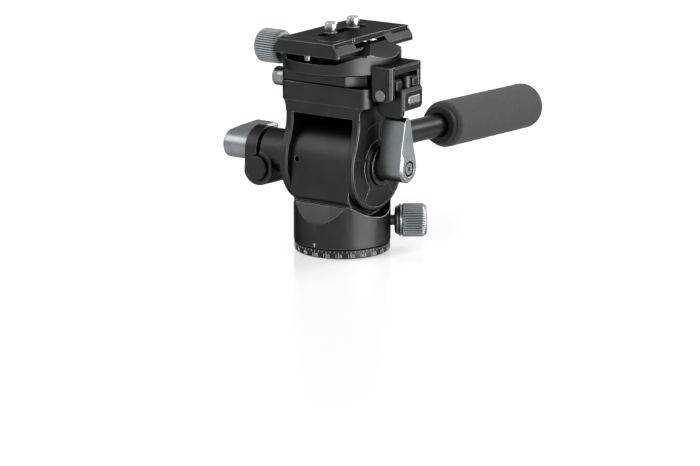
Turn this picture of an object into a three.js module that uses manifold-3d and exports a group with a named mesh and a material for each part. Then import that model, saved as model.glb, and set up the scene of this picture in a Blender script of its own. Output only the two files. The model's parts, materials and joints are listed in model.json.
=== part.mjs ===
// Fluid video head: a pan base, a tilting yoke, a flip-over quick-release platform and a pan handle.
// Millimetres, +Z up. The origin is the centre of the underside, where the tripod stud enters.
// +X runs along the tilt axis towards the tilt lever, -Y is the front and the handle runs to +Y.
import * as THREE from "three";
import { mergeVertices } from "three/addons/utils/BufferGeometryUtils.js";
import Module from "manifold-3d";

const wasm = await Module();
wasm.setup();

// Shared allowances
const clearance = 0.3;      // between pieces that touch or slide
const runningGap = 0.4;     // between the drum and the yoke that turns round it
const sweepGap = 0.6;       // round a piece that swings past another
const overrun = 1;          // how far a cut runs past the face that it opens
const edgeChamfer = 0.6;    // broken edge on turned pieces
const edgeBreak = 0.3;      // the smaller one on flat pieces
const weldDistance = 1e-4;  // corners closer than this are one corner

// Roundness, in sides to a full turn
const sidesLarge = 40;
const sidesMedium = 24;
const sidesScrew = 16;
const sidesSmall = 12;
const sidesHexagon = 6;
const bendSteps = 4;
const domeSteps = 5;

const base = {
  radius: 23.3, height: 4, boltCircle: 12.4, boltCount: 3, boltStart: 90, boltRadius: 1.5, headRadius: 2.6,
  headDepth: 1.6, socketShare: 0.7,
};
const stud = { radius: 4.76, depth: 12 };
const bush = { radius: 8, flangeRadius: 8.8, flangeHeight: 1.2 };
const spindle = { footRadius: 15.2, footHeight: 2.6, radius: 6.5, top: 21 };
const thrust = { radius: 13.4, thickness: 1.4 };
const panDisc = { radius: 11.8, thickness: 1.2 };
const panNut = { acrossFlats: 16, height: 1.8 };
const housing = {
  radius: 23.6, top: 25.1, neckTop: 17, chamberRoof: 21.5, facetDrop: 8.7, facetDepth: 4.9, cheekRecess: 25.4,
};
const undercut = { depth: 2.1, rise: 1.3, top: 5.2, flareRadius: 25.4 };
const tiltAxisHeight = 44.1;
const drum = { radius: 19, halfWidth: 16.6, cavityRadius: 12.5, cavityHalfWidth: 9 };
const drumBush = { wall: 2.4, length: 4.8 };
const damper = { rotorThickness: 1.2, gap: 0.3, start: 2.6 };
const drumScrew = { across: -13.5, rise: 1.9, radius: 1.35, depth: 5 };
const balanceSpring = { wire: 0.7, turns: 2.5, start: -7.6, end: -0.6, steps: 40, sides: 6 };

// Heights in the yoke and in all that it carries are measured from the tilt axis.
const yoke = {
  cheekRadius: 22.5, cheekThickness: 4.3, neckHalfDepth: 17, openingTop: 24.25, cheekBevel: 0.7,
  flareHeight: 0.65, blockBottom: 30.2, blockHeight: 8.9, blockHalfWidth: 25, blockHalfDepth: 17.5,
  blockCorner: 5, neckBlendTop: 21.9, neckBlendMiddle: 16.4, neckBlendAngle: 20, skin: 0.7,
  apronDrop: 9.15, apronThickness: 2,
};
const leverCup = { radius: 9.7, wall: 1.7, height: 2.9, skirtRadius: 11.2, skirtHeight: 0.7 };
const cheekPetal = { count: 5, innerRadius: 12.2, outerRadius: 20.6, depth: 0.25, ribWidth: 1 };
const shaft = { radius: 5, threadRadius: 1.8, threadDepth: 9 };
const seat = { thickness: 5.4, notchAcross: 26, notchFront: -22.5, notchRadius: 13.2 };
const lug = { outer: 22, thickness: 3, halfWidth: 4, belowPin: 3, swingRoom: 1.8 };

const lever = {
  hubRadius: 7, hubLength: 17.1, handleHubLength: 16.2, hubTaper: 0.6, armLength: 24.5, rootHalf: 5.6,
  tipHalf: 2.3, tipCut: 1.6, armInset: 0.9, counterboreRadius: 4, counterboreDepth: 2.2, bevel: 1,
  shoulderStart: 5.6, shoulderEnd: 8.2,
};
const leverScrew = { radius: 1.8, headRadius: 3.5, headHeight: 1.8, socket: 1.5, socketDepth: 1.1 };

const handle = {
  droop: 2.8, rodRadius: 6.2, rodDrop: 8.3, rodAcross: -42.45, rodFront: -13, rodEnd: 232.3, rodChamfer: 0.7,
  jawRadius: 10.95, hubRadius: 10.5, slit: 2.1, jawThickness: 7.1, socketRadius: 8.8, socketHalfWidth: 8.2,
  socketBack: 19, leverAngle: -73,
};
const grip = { front: 157, end: 245.3, radius: 12.6, endRadius: 9, frontRound: 2.2 };
const collar = { radius: 10.4, length: 3.4 };

const flipPin = { across: 30.9, drop: 2.4, radius: 2.75, halfLength: 13.7 };
const hinge = {
  halfWidth: 9.1, right: 40.6, frontInset: 1, rise: 0.4, ribFront: 37.4, knuckleGap: 1, innerHeight: 14,
  outerHeight: 10.3, cornerCut: 1.5, footCut: 3, footRise: 1.4, footDepth: 2.6, rearCut: 2.5, edge: 1.1,
  slotHalf: 4.6,
};
const catchPost = { across: 36.5, side: 0.1, radius: 1.8, foot: 1.4, travel: 0.7 };
const button = {
  halfWidth: 5, height: 3.7, side: 0.5, drop: 2.65, proud: 0.5, length: 2.3, corner: 1.1, travel: 0.7,
};
const buttonSpring = { wire: 0.15, radius: 1.3, length: 1.2, turns: 2, steps: 16, sides: 6 };

const platform = { radius: 28.5, gap: 0.7, height: 9.5, chamfer: 0.7 };
const stopNotch = { middle: -1.2, halfWidth: 14.5, depth: 3.8, inner: 17, ramp: 10 };
const ear = {
  top: 4.8, barBottom: 1.1, right: 37, armThickness: 3.5, armRadius: 5.4, armFoot: 1.8, armDrop: 1.3,
  inner: 20, bevel: 0.9, edge: 1.1, relief: 0.9, lip: 1,
};
const jaw = {
  halfLength: 14.6, topHalfLength: 6.6, gap: 0.4, lipHeight: 4.3, lipEdge: 2.9, slopeDrop: 2.3, floorDrop: 6.7,
};
const clampScrew = { drop: 3.8, radius: 2.2, tip: -1.5 };
const clampKnob = { radius: 8.3, left: 47, right: 33.6, neckRadius: 4.2, ridges: 24, ridgeDepth: 0.45 };
const panKnob = {
  angle: 35, height: 13.7, radius: 8.15, start: 25.4, end: 41, ridges: 24, ridgeDepth: 0.45,
  screwRadius: 2.65, screwStart: 11.2, screwEnd: 33,
};
const shoe = { length: 3.4, lift: 0.7 };
const knobBevel = 1.3;

const plunger = {
  knobGap: 1.25, radius: 4.75, left: 38.6, right: 29.4, pinRadius: 2, neckRadius: 3.6, travel: 3, round: 0.8,
};

const plate = {
  gap: 0.35, height: 6.95, middle: 1.2, halfLength: 32.4, halfBottom: 19, halfTop: 16.1, landHeight: 1.9, lipHeight: 1.2,
  skin: 2, pocketHalfWidth: 12.4, windowRise: 2.75, cornerCut: 1, rimMiddle: -1.6, rimHalf: 13.1,
  rimProud: 0.8, rimHeight: 1.3, rimRise: 0.6, rimWall: 1.4,
};
const cameraScrew = {
  across: -1.8, front: -6.6, rear: 12, radius: 3.1, proud: 5.6, headRadius: 6, headHeight: 2.2, headDrop: 1.3,
  slotWidth: 1.1, slotDepth: 1.2, slotAngle: -55, travel: 6, tipChamfer: 0.5,
};
const clip = { outer: 5.4, thickness: 0.7 };
const stopPin = { offset: 26, radius: 1.5, length: 3.2 };

// Finishes
const finish = {
  blackBody: { color: 0x2b2c2e, roughness: 0.42, metalness: 0.55 },
  blackSatin: { color: 0x232426, roughness: 0.5, metalness: 0.4 },
  greyMetal: { color: 0x6f7678, roughness: 0.38, metalness: 0.8 },
  steel: { color: 0xb9bcbe, roughness: 0.28, metalness: 1 },
  darkSteel: { color: 0x3a3b3d, roughness: 0.4, metalness: 0.9 },
  brass: { color: 0xb08d4a, roughness: 0.35, metalness: 1 },
  foam: { color: 0x252527, roughness: 0.95, metalness: 0 },
};

// Turns a closed geometry into a solid, with its faces outwards.
function solid(geometry) {
  geometry.deleteAttribute("normal");
  geometry.deleteAttribute("uv");
  const merged = mergeVertices(geometry, weldDistance);
  const places = merged.attributes.position;
  const corners = Array.from(merged.index.array);
  const a = new THREE.Vector3();
  const b = new THREE.Vector3();
  const c = new THREE.Vector3();
  let volume = 0;
  const kept = [];
  for (let i = 0; i < corners.length; i += 3) {
    const [p, q, r] = corners.slice(i, i + 3);
    if (p === q || q === r || r === p) continue;
    a.fromBufferAttribute(places, p);
    b.fromBufferAttribute(places, q);
    c.fromBufferAttribute(places, r);
    volume += a.dot(b.cross(c));
    kept.push([p, q, r]);
  }
  const turned = volume < 0 ? kept.map(([p, q, r]) => [p, r, q]) : kept;
  const mesh = new wasm.Mesh({
    numProp: 3,
    vertProperties: new Float32Array(places.array),
    triVerts: new Uint32Array(turned.flat()),
  });
  return new wasm.Manifold(mesh);
}

function geometryOf(shape) {
  const mesh = shape.getMesh();
  const geometry = new THREE.BufferGeometry();
  geometry.setAttribute("position", new THREE.BufferAttribute(mesh.vertProperties, 3));
  geometry.setIndex(new THREE.BufferAttribute(mesh.triVerts, 1));
  geometry.computeVertexNormals();
  return geometry;
}

const join = (first, ...others) => others.reduce((whole, piece) => whole.add(piece), first);
const cut = (first, ...others) => others.reduce((whole, piece) => whole.subtract(piece), first);
const mirrorX = (shape) => shape.mirror([1, 0, 0]);
const mirrorY = (shape) => shape.mirror([0, 1, 0]);

// A box between two corners
function box(low, high) {
  const size = high.map((value, i) => value - low[i]);
  const middle = high.map((value, i) => (value + low[i]) / 2);
  return solid(new THREE.BoxGeometry(...size).translate(...middle));
}

// A round bar from one end to the other along an axis, given by its start and end on that axis
const standing = new THREE.Matrix4().makeRotationX(Math.PI / 2);
const facingX = new THREE.Matrix4().makeRotationZ(-Math.PI / 2);
function bar(axis, radius, from, to, centre = [0, 0], sides = sidesMedium, endRadius = radius) {
  const geometry = new THREE.CylinderGeometry(endRadius, radius, to - from, sides);
  geometry.translate(0, (from + to) / 2, 0);
  if (axis === "x") return solid(geometry.applyMatrix4(facingX).translate(0, ...centre));
  if (axis === "z") return solid(geometry.applyMatrix4(standing).translate(...centre, 0));
  return solid(geometry.translate(centre[0], 0, centre[1]));
}

// A turned piece: pairs of radius and place along the axis, starting and ending on the axis or closed
function turned(profile, sides, axis = "z", closed = false) {
  const points = profile.map(([radius, along]) => new THREE.Vector2(radius, along));
  if (closed) points.push(points[0].clone());
  const geometry = new THREE.LatheGeometry(points, sides);
  if (axis === "x") geometry.applyMatrix4(facingX);
  if (axis === "z") geometry.applyMatrix4(standing);
  return solid(geometry);
}

function ring(outer, inner, from, to, sides = sidesMedium, axis = "z") {
  return turned([[inner, from], [outer, from], [outer, to], [inner, to]], sides, axis, true);
}

// Extrusions: the drawing lies in XY, YZ or XZ and is pulled along the remaining axis.
const pullX = new THREE.Matrix4().set(0, 0, 1, 0, 1, 0, 0, 0, 0, 1, 0, 0, 0, 0, 0, 1);
const pullY = new THREE.Matrix4().set(1, 0, 0, 0, 0, 0, -1, 0, 0, 1, 0, 0, 0, 0, 0, 1);
function pulled(outline, axis, from, to, bevel = 0, steps = bendSteps) {
  const geometry = new THREE.ExtrudeGeometry(outline, {
    depth: to - from - 2 * bevel,
    curveSegments: steps,
    bevelEnabled: bevel > 0,
    bevelThickness: bevel,
    bevelSize: bevel,
    bevelOffset: -bevel,
    bevelSegments: 1,
  });
  geometry.translate(0, 0, bevel);
  if (axis === "x") return solid(geometry.applyMatrix4(pullX).translate(from, 0, 0));
  if (axis === "y") return solid(geometry.applyMatrix4(pullY).translate(0, to, 0));
  return solid(geometry.translate(0, 0, from));
}

const outlineOf = (points) => new THREE.Shape(points.map(([u, v]) => new THREE.Vector2(u, v)));

function roundedRectangle(halfU, halfV, corner, middle = [0, 0]) {
  const shape = new THREE.Shape();
  const [u, v] = middle;
  const quarter = Math.PI / 2;
  shape.absarc(u + halfU - corner, v + halfV - corner, corner, 0, quarter);
  shape.absarc(u - halfU + corner, v + halfV - corner, corner, quarter, 2 * quarter);
  shape.absarc(u - halfU + corner, v - halfV + corner, corner, 2 * quarter, 3 * quarter);
  shape.absarc(u + halfU - corner, v - halfV + corner, corner, 3 * quarter, 4 * quarter);
  shape.closePath();
  return shape;
}

// A knurled grip outline: ridges with flat tops and narrow grooves
const ridgeShares = [[0.1, 1], [0.55, 1], [0.68, 0], [0.97, 0]];
function ridgedOutline(radius, count, depth) {
  const points = [];
  for (let i = 0; i < count; i += 1) {
    for (const [turnShare, heightShare] of ridgeShares) {
      const angle = (2 * Math.PI * (i + turnShare)) / count;
      const reach = radius - depth * (1 - heightShare);
      points.push([reach * Math.cos(angle), reach * Math.sin(angle)]);
    }
  }
  return outlineOf(points);
}

// A helical spring along X, given in its own frame; both ends stop square.
function spring(radius, wire, turns, length, steps, sides) {
  const points = [];
  for (let i = 0; i <= steps; i += 1) {
    const share = i / steps;
    const angle = 2 * Math.PI * turns * share;
    const along = wire + (length - 2 * wire) * share;
    points.push(new THREE.Vector3(along, radius * Math.cos(angle), radius * Math.sin(angle)));
  }
  const path = new THREE.CatmullRomCurve3(points);
  const section = new THREE.Shape();
  section.absarc(0, 0, wire, 0, 2 * Math.PI);
  const quarterSides = Math.max(1, Math.round(sides / 2));
  return solid(new THREE.ExtrudeGeometry(section, {
    steps, curveSegments: quarterSides, bevelEnabled: false, extrudePath: path,
  }));
}

function add(parent, name, shape, look) {
  const mesh = new THREE.Mesh(geometryOf(shape), new THREE.MeshStandardMaterial(look));
  mesh.name = name;
  parent.add(mesh);
  return mesh;
}

const radians = THREE.MathUtils.degToRad;
const head = new THREE.Group();
const tilting = new THREE.Group();
tilting.position.z = tiltAxisHeight;
head.add(tilting);

// Heights above the tilt axis, each from the one below it
const blockTop = yoke.blockBottom + yoke.blockHeight;
const seatTop = blockTop + clearance + seat.thickness;
const platformBottom = seatTop + platform.gap;
const platformTop = platformBottom + platform.height;
const earTop = platformBottom + ear.top;
const earBarBottom = platformBottom + ear.barBottom;
const hingeTop = blockTop + hinge.rise;
const pinHeight = blockTop - flipPin.drop;
const knuckleRadius = earBarBottom - pinHeight - hinge.knuckleGap;
const catchTop = platformBottom - clearance;
const catchReach = Math.hypot(catchPost.across + catchPost.radius - flipPin.across, catchTop - pinHeight);
const jawTop = platformTop + jaw.lipHeight;
const jawSlopeBottom = platformTop - jaw.slopeDrop;
const jawFloor = platformTop - jaw.floorDrop;
const clampHeight = platformTop - clampScrew.drop;
const plungerHeight = clampHeight - clampKnob.radius - plunger.knobGap - plunger.radius;
const lugBottom = plungerHeight - lug.belowPin;
const plateBottom = platformTop + plate.gap;
const plateTop = plateBottom + plate.height;

// Base: the scale ring, its tripod bush and the spindle that everything turns on
const panFloor = base.height + clearance;
const footTop = panFloor + spindle.footHeight;
const thrustTop = footTop + clearance + thrust.thickness;
const cavityRoof = thrustTop + clearance;
const spindleRoom = spindle.radius + clearance;

function baseBolts(radius, from, to) {
  return Array.from({ length: base.boltCount }, (_, i) => {
    const angle = radians(base.boltStart) + (2 * Math.PI * i) / base.boltCount;
    const place = [base.boltCircle * Math.cos(angle), base.boltCircle * Math.sin(angle)];
    return bar("z", radius, from, to, place, sidesSmall);
  });
}

function baseParts(group) {
  const ringShape = turned([
    [stud.radius + clearance, 0], [base.radius - edgeChamfer, 0], [base.radius, edgeChamfer],
    [base.radius, base.height], [stud.radius + clearance, base.height],
  ], sidesLarge, "z", true);
  const bushPocket = join(
    bar("z", bush.radius + clearance, -overrun, base.height + overrun),
    bar("z", bush.flangeRadius + clearance, -overrun, bush.flangeHeight + clearance),
  );
  const holes = baseBolts(base.boltRadius + clearance, -overrun, base.height + overrun);
  const heads = baseBolts(base.headRadius + clearance, -overrun, base.headDepth + clearance);
  add(group, "base_ring", cut(ringShape, bushPocket, ...holes, ...heads), finish.blackBody);

  add(group, "tripod_bush", turned([
    [stud.radius, 0], [bush.flangeRadius - edgeChamfer, 0], [bush.flangeRadius, edgeChamfer],
    [bush.flangeRadius, bush.flangeHeight], [bush.radius, bush.flangeHeight], [bush.radius, base.height],
    [stud.radius, base.height],
  ], sidesMedium, "z", true), finish.steel);

  const spindleShape = turned([
    [stud.radius + clearance, panFloor], [spindle.footRadius, panFloor], [spindle.footRadius, footTop],
    [spindle.radius, footTop], [spindle.radius, spindle.top - edgeChamfer],
    [spindle.radius - edgeChamfer, spindle.top], [0, spindle.top], [0, stud.depth],
    [stud.radius + clearance, stud.depth],
  ], sidesMedium, "z", true);
  const threads = baseBolts(base.boltRadius + clearance, panFloor - overrun, footTop + overrun);
  add(group, "pan_spindle", cut(spindleShape, ...threads), finish.steel);

  const shanks = baseBolts(base.boltRadius, base.headDepth / 2, footTop);
  const caps = baseBolts(base.headRadius, clearance, base.headDepth);
  const sockets = baseBolts(base.boltRadius * base.socketShare, 0, base.headDepth * base.socketShare);
  shanks.forEach((shank, i) => {
    add(group, `base_screw_${i + 1}`, cut(join(caps[i], shank), sockets[i]), finish.darkSteel);
  });

  add(group, "thrust_washer", ring(thrust.radius, spindleRoom, footTop + clearance, thrustTop), finish.brass);
  const discBottom = housing.neckTop + clearance;
  const discTop = discBottom + panDisc.thickness;
  add(group, "pan_drag_disc", ring(panDisc.radius, spindleRoom, discBottom, discTop), finish.brass);
  const nutBottom = discTop + clearance;
  const nutTop = nutBottom + panNut.height;
  const hexagon = bar("z", panNut.acrossFlats / Math.sqrt(3), nutBottom, nutTop, [0, 0], sidesHexagon);
  const nutHole = bar("z", spindleRoom, nutBottom - overrun, nutTop + overrun);
  add(group, "spindle_nut", cut(hexagon, nutHole), finish.darkSteel);
}

// Pan housing: the round body with two inclined facets, carrying the tilt drum
const cheekSweep = Math.max(housing.cheekRecess, yoke.cheekRadius + sweepGap);
const openingHalf = drum.halfWidth + runningGap;
const cheekOuter = openingHalf + yoke.cheekThickness;
const boreRadius = shaft.radius + clearance;
const drumBushRadius = boreRadius + drumBush.wall;

function facetCut() {
  const top = housing.top;
  const inner = housing.radius - housing.facetDepth;
  const slope = housing.facetDrop / housing.facetDepth;
  const wedge = outlineOf([
    [-inner, top], [-housing.radius - overrun, top - housing.facetDrop - overrun * slope],
    [-housing.radius - overrun, top + overrun], [-inner, top + overrun],
  ]);
  return pulled(wedge, "x", -housing.radius, housing.radius);
}

// The hollow at the foot of the drum, above the inclined facet
function undercutShape() {
  const inner = drum.radius - undercut.depth;
  const top = housing.top + undercut.top;
  const outer = housing.radius + overrun;
  const shape = new THREE.Shape();
  shape.moveTo(-outer, housing.top);
  shape.lineTo(-inner, housing.top);
  shape.lineTo(-inner, housing.top + undercut.rise);
  shape.quadraticCurveTo(-drum.radius, housing.top + undercut.rise, -drum.radius, top);
  shape.lineTo(-outer, top);
  shape.closePath();
  return pulled(shape, "x", -housing.radius, housing.radius);
}

function housingShape() {
  const body = turned([
    [0, panFloor], [housing.radius - edgeChamfer, panFloor], [housing.radius, panFloor + edgeChamfer],
    [housing.radius, housing.top - edgeChamfer], [housing.radius - edgeChamfer, housing.top], [0, housing.top],
  ], sidesLarge);
  const drumBar = bar("x", drum.radius, -drum.halfWidth, drum.halfWidth, [0, tiltAxisHeight], sidesLarge);
  const pedestalTop = housing.top + undercut.top;
  const flare = turned([
    [0, housing.top - overrun], [housing.radius, housing.top - overrun], [housing.radius, housing.top],
    [undercut.flareRadius, pedestalTop], [undercut.flareRadius, tiltAxisHeight], [0, tiltAxisHeight],
  ], sidesLarge);
  const pedestal = box([-drum.halfWidth, -drum.radius, housing.top - overrun],
    [drum.halfWidth, drum.radius, tiltAxisHeight]).intersect(flare);
  const front = facetCut();
  const hollow = undercutShape();
  const cheekRoom = bar("x", cheekSweep, drum.halfWidth, housing.radius + overrun, [0, tiltAxisHeight], sidesLarge);
  return join(cut(body, front, mirrorY(front)), cut(join(drumBar, pedestal), hollow, mirrorY(hollow)))
    .subtract(cheekRoom).subtract(mirrorX(cheekRoom));
}

function panHousing() {
  const under = turned([
    [0, 0], [spindle.footRadius + sweepGap, 0], [spindle.footRadius + sweepGap, cavityRoof],
    [spindleRoom, cavityRoof], [spindleRoom, housing.neckTop], [panDisc.radius + clearance, housing.neckTop],
    [panDisc.radius + clearance, housing.chamberRoof], [0, housing.chamberRoof],
  ], sidesMedium);
  const bushBore = bar("x", drumBushRadius + clearance, -drum.halfWidth - overrun, drum.halfWidth + overrun,
    [0, tiltAxisHeight]);
  const cavity = bar("x", drum.cavityRadius, -drum.cavityHalfWidth, drum.cavityHalfWidth, [0, tiltAxisHeight]);
  const tapped = bar("y", drumScrew.radius, -drum.radius - overrun, drumScrew.depth - drum.radius,
    [drumScrew.across, tiltAxisHeight + drumScrew.rise], sidesSmall);
  const knobBore = bar("x", panKnob.screwRadius + clearance, 0, housing.radius + overrun, [0, panKnob.height],
    sidesSmall).rotate([0, 0, panKnob.angle]);
  return cut(housingShape(), under, bushBore, cavity, tapped, knobBore);
}

function panParts(group) {
  add(group, "pan_housing", panHousing(), finish.blackBody);
  const bushStart = drum.halfWidth - clearance - drumBush.length;
  const drumBushShape = ring(drumBushRadius, boreRadius, bushStart, bushStart + drumBush.length, sidesMedium, "x")
    .translate([0, 0, tiltAxisHeight]);
  add(group, "drum_bush_right", drumBushShape, finish.brass);
  add(group, "drum_bush_left", mirrorX(drumBushShape), finish.brass);
  const statorStart = damper.start + damper.rotorThickness + damper.gap;
  const stator = ring(drum.cavityRadius - clearance, shaft.radius + sweepGap, statorStart,
    statorStart + damper.rotorThickness, sidesMedium, "x");
  add(group, "tilt_drag_plate", stator.translate([0, 0, tiltAxisHeight]), finish.steel);
  const coilRadius = drum.cavityRadius - clearance - balanceSpring.wire;
  const coil = spring(coilRadius, balanceSpring.wire, balanceSpring.turns, balanceSpring.end - balanceSpring.start,
    balanceSpring.steps, balanceSpring.sides);
  add(group, "counterbalance_spring", coil.translate([balanceSpring.start, 0, tiltAxisHeight]), finish.darkSteel);
}

// Pan lock: a knurled knob on a screw that presses a brake shoe on the spindle
function knobShape(radius, ridges, depth, from, to, bevel = knobBevel) {
  const form = turned([
    [0, from], [radius - bevel, from], [radius + bevel, from + 2 * bevel], [radius + bevel, to - 2 * bevel],
    [radius - bevel, to], [0, to],
  ], sidesMedium, "x");
  return pulled(ridgedOutline(radius, ridges, depth), "x", from, to).intersect(form);
}

function panKnobParts(parent) {
  const group = new THREE.Group();
  group.position.z = panKnob.height;
  group.rotation.z = radians(panKnob.angle);
  parent.add(group);
  const hole = bar("x", panKnob.screwRadius + clearance, panKnob.start - overrun, panKnob.screwEnd + clearance,
    [0, 0], sidesSmall);
  const knob = knobShape(panKnob.radius, panKnob.ridges, panKnob.ridgeDepth, panKnob.start, panKnob.end);
  add(group, "pan_lock_knob", cut(knob, hole), finish.greyMetal);
  add(group, "pan_lock_screw", bar("x", panKnob.screwRadius, panKnob.screwStart, panKnob.screwEnd, [0, 0],
    sidesSmall), finish.darkSteel);
  const shoeStart = spindle.radius + shoe.lift;
  add(group, "pan_brake_shoe", bar("x", panKnob.screwRadius, shoeStart, shoeStart + shoe.length, [0, 0],
    sidesSmall), finish.brass);
}

// Yoke: two cheeks joined by a bridge that widens into the block under the platform
function cheekOutline() {
  const angle = radians(yoke.neckBlendAngle);
  const reach = yoke.cheekRadius;
  const blend = [reach * Math.cos(angle), reach * Math.sin(angle)];
  const shape = new THREE.Shape();
  shape.moveTo(yoke.neckHalfDepth, yoke.blockBottom);
  shape.lineTo(-yoke.neckHalfDepth, yoke.blockBottom);
  shape.lineTo(-yoke.neckHalfDepth, yoke.neckBlendTop);
  shape.quadraticCurveTo(-yoke.neckHalfDepth, yoke.neckBlendMiddle, -blend[0], blend[1]);
  shape.absarc(0, 0, reach, Math.PI - angle, 2 * Math.PI + angle);
  shape.quadraticCurveTo(yoke.neckHalfDepth, yoke.neckBlendMiddle, yoke.neckHalfDepth, yoke.neckBlendTop);
  shape.closePath();
  return shape;
}

function bridgeShape() {
  const low = yoke.openingTop;
  const outline = new THREE.Shape();
  outline.moveTo(-cheekOuter, low);
  outline.lineTo(cheekOuter, low);
  outline.lineTo(cheekOuter, low + yoke.flareHeight);
  outline.quadraticCurveTo(cheekOuter, yoke.blockBottom, yoke.blockHalfWidth, yoke.blockBottom);
  outline.lineTo(-yoke.blockHalfWidth, yoke.blockBottom);
  outline.quadraticCurveTo(-cheekOuter, yoke.blockBottom, -cheekOuter, low + yoke.flareHeight);
  outline.closePath();
  const plan = roundedRectangle(yoke.blockHalfWidth, yoke.neckHalfDepth, yoke.blockCorner);
  const column = pulled(plan, "z", low - overrun, blockTop);
  return pulled(outline, "y", -yoke.neckHalfDepth, yoke.neckHalfDepth).intersect(column);
}

// One of the shallow panels pressed into the cheek between its ribs
function petalCut(index) {
  const step = (2 * Math.PI) / cheekPetal.count;
  const middle = -Math.PI / 2 + step * index;
  const outer = cheekPetal.outerRadius;
  const inner = cheekPetal.innerRadius;
  const outerHalf = step / 2 - cheekPetal.ribWidth / outer / 2;
  const innerHalf = step / 2 - cheekPetal.ribWidth / inner / 2;
  const shape = new THREE.Shape();
  shape.absarc(0, 0, outer, middle - outerHalf, middle + outerHalf);
  shape.absarc(0, 0, inner, middle + innerHalf, middle - innerHalf, true);
  shape.closePath();
  return pulled(shape, "x", cheekOuter - cheekPetal.depth, cheekOuter + overrun);
}

function yokeShape() {
  const cheek = pulled(cheekOutline(), "x", openingHalf, cheekOuter, yoke.cheekBevel, sidesSmall);
  const blockPlan = roundedRectangle(yoke.blockHalfWidth, yoke.blockHalfDepth, yoke.blockCorner);
  const block = pulled(blockPlan, "z", yoke.blockBottom - clearance, blockTop);
  const apron = box([-openingHalf, yoke.neckHalfDepth - yoke.apronThickness, yoke.openingTop - yoke.apronDrop],
    [openingHalf, yoke.neckHalfDepth, yoke.openingTop]);
  const cup = ring(leverCup.radius, leverCup.radius - leverCup.wall, cheekOuter - overrun,
    cheekOuter + leverCup.height, sidesMedium, "x");
  const skirt = turned([
    [0, cheekOuter - overrun], [leverCup.skirtRadius, cheekOuter - overrun], [leverCup.skirtRadius, cheekOuter],
    [leverCup.radius, cheekOuter + leverCup.skirtHeight], [0, cheekOuter + leverCup.skirtHeight],
  ], sidesMedium, "x");
  const cupFloor = bar("x", leverCup.radius - leverCup.wall, cheekOuter, cheekOuter + overrun + leverCup.height);
  const rightBoss = cut(join(skirt, cup), cupFloor);
  const petals = Array.from({ length: cheekPetal.count }, (_, i) => petalCut(i));
  const rightCheek = join(cut(cheek, ...petals), rightBoss);
  const pocketEnd = cheekOuter - yoke.skin;
  const shaftPocket = bar("x", boreRadius, -pocketEnd, pocketEnd);
  const screwHole = bar("x", leverScrew.radius + clearance, -cheekOuter - overrun, cheekOuter + overrun, [0, 0],
    sidesSmall);
  const lugRoom = box([-lug.outer - sweepGap, -lug.halfWidth - sweepGap, lugBottom - sweepGap],
    [-lug.outer + lug.thickness + lug.swingRoom, lug.halfWidth + sweepGap, blockTop + overrun]);
  const pinBore = bar("x", plunger.pinRadius + clearance, -yoke.blockHalfWidth - overrun, -lug.outer,
    [0, plungerHeight], sidesSmall);
  const whole = join(mirrorX(cheek), rightCheek, bridgeShape(), block, apron);
  return cut(whole, shaftPocket, screwHole, lugRoom, pinBore);
}

function seatShape() {
  const plan = roundedRectangle(yoke.blockHalfWidth, yoke.blockHalfDepth, yoke.blockCorner);
  const bottom = blockTop + clearance;
  const plateShape = pulled(plan, "z", bottom, seatTop, edgeChamfer);
  const notch = bar("z", seat.notchRadius, bottom - overrun, seatTop + overrun,
    [seat.notchAcross, seat.notchFront], sidesLarge);
  const knuckleRoom = box([flipPin.across - knuckleRadius - sweepGap, -yoke.blockHalfDepth - overrun,
    bottom - overrun], [yoke.blockHalfWidth + overrun, yoke.blockHalfDepth + overrun, seatTop + overrun]);
  const lugRoom = box([-lug.outer - sweepGap, -lug.halfWidth - sweepGap, bottom - overrun],
    [-lug.outer + lug.thickness + lug.swingRoom, lug.halfWidth + sweepGap, seatTop + overrun]);
  return cut(plateShape, notch, mirrorY(notch), knuckleRoom, lugRoom);
}

function yokeParts(group) {
  add(group, "tilt_yoke", yokeShape(), finish.blackBody);
  add(group, "platform_seat", seatShape(), finish.blackBody);
  const shaftEnd = cheekOuter - yoke.skin - clearance;
  const shaftBar = bar("x", shaft.radius, -shaftEnd, shaftEnd);
  const thread = bar("x", shaft.threadRadius + clearance, shaftEnd - shaft.threadDepth, shaftEnd + overrun, [0, 0],
    sidesSmall);
  add(group, "tilt_shaft", cut(shaftBar, thread, mirrorX(thread)), finish.steel);
  const step = 2 * (damper.rotorThickness + damper.gap);
  [0, 1].forEach((i) => {
    const from = damper.start + step * i;
    const rotor = ring(drum.cavityRadius - sweepGap, boreRadius, from, from + damper.rotorThickness,
      sidesMedium, "x");
    add(group, `tilt_drag_disc_${i + 1}`, rotor, finish.brass);
  });
}

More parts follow.
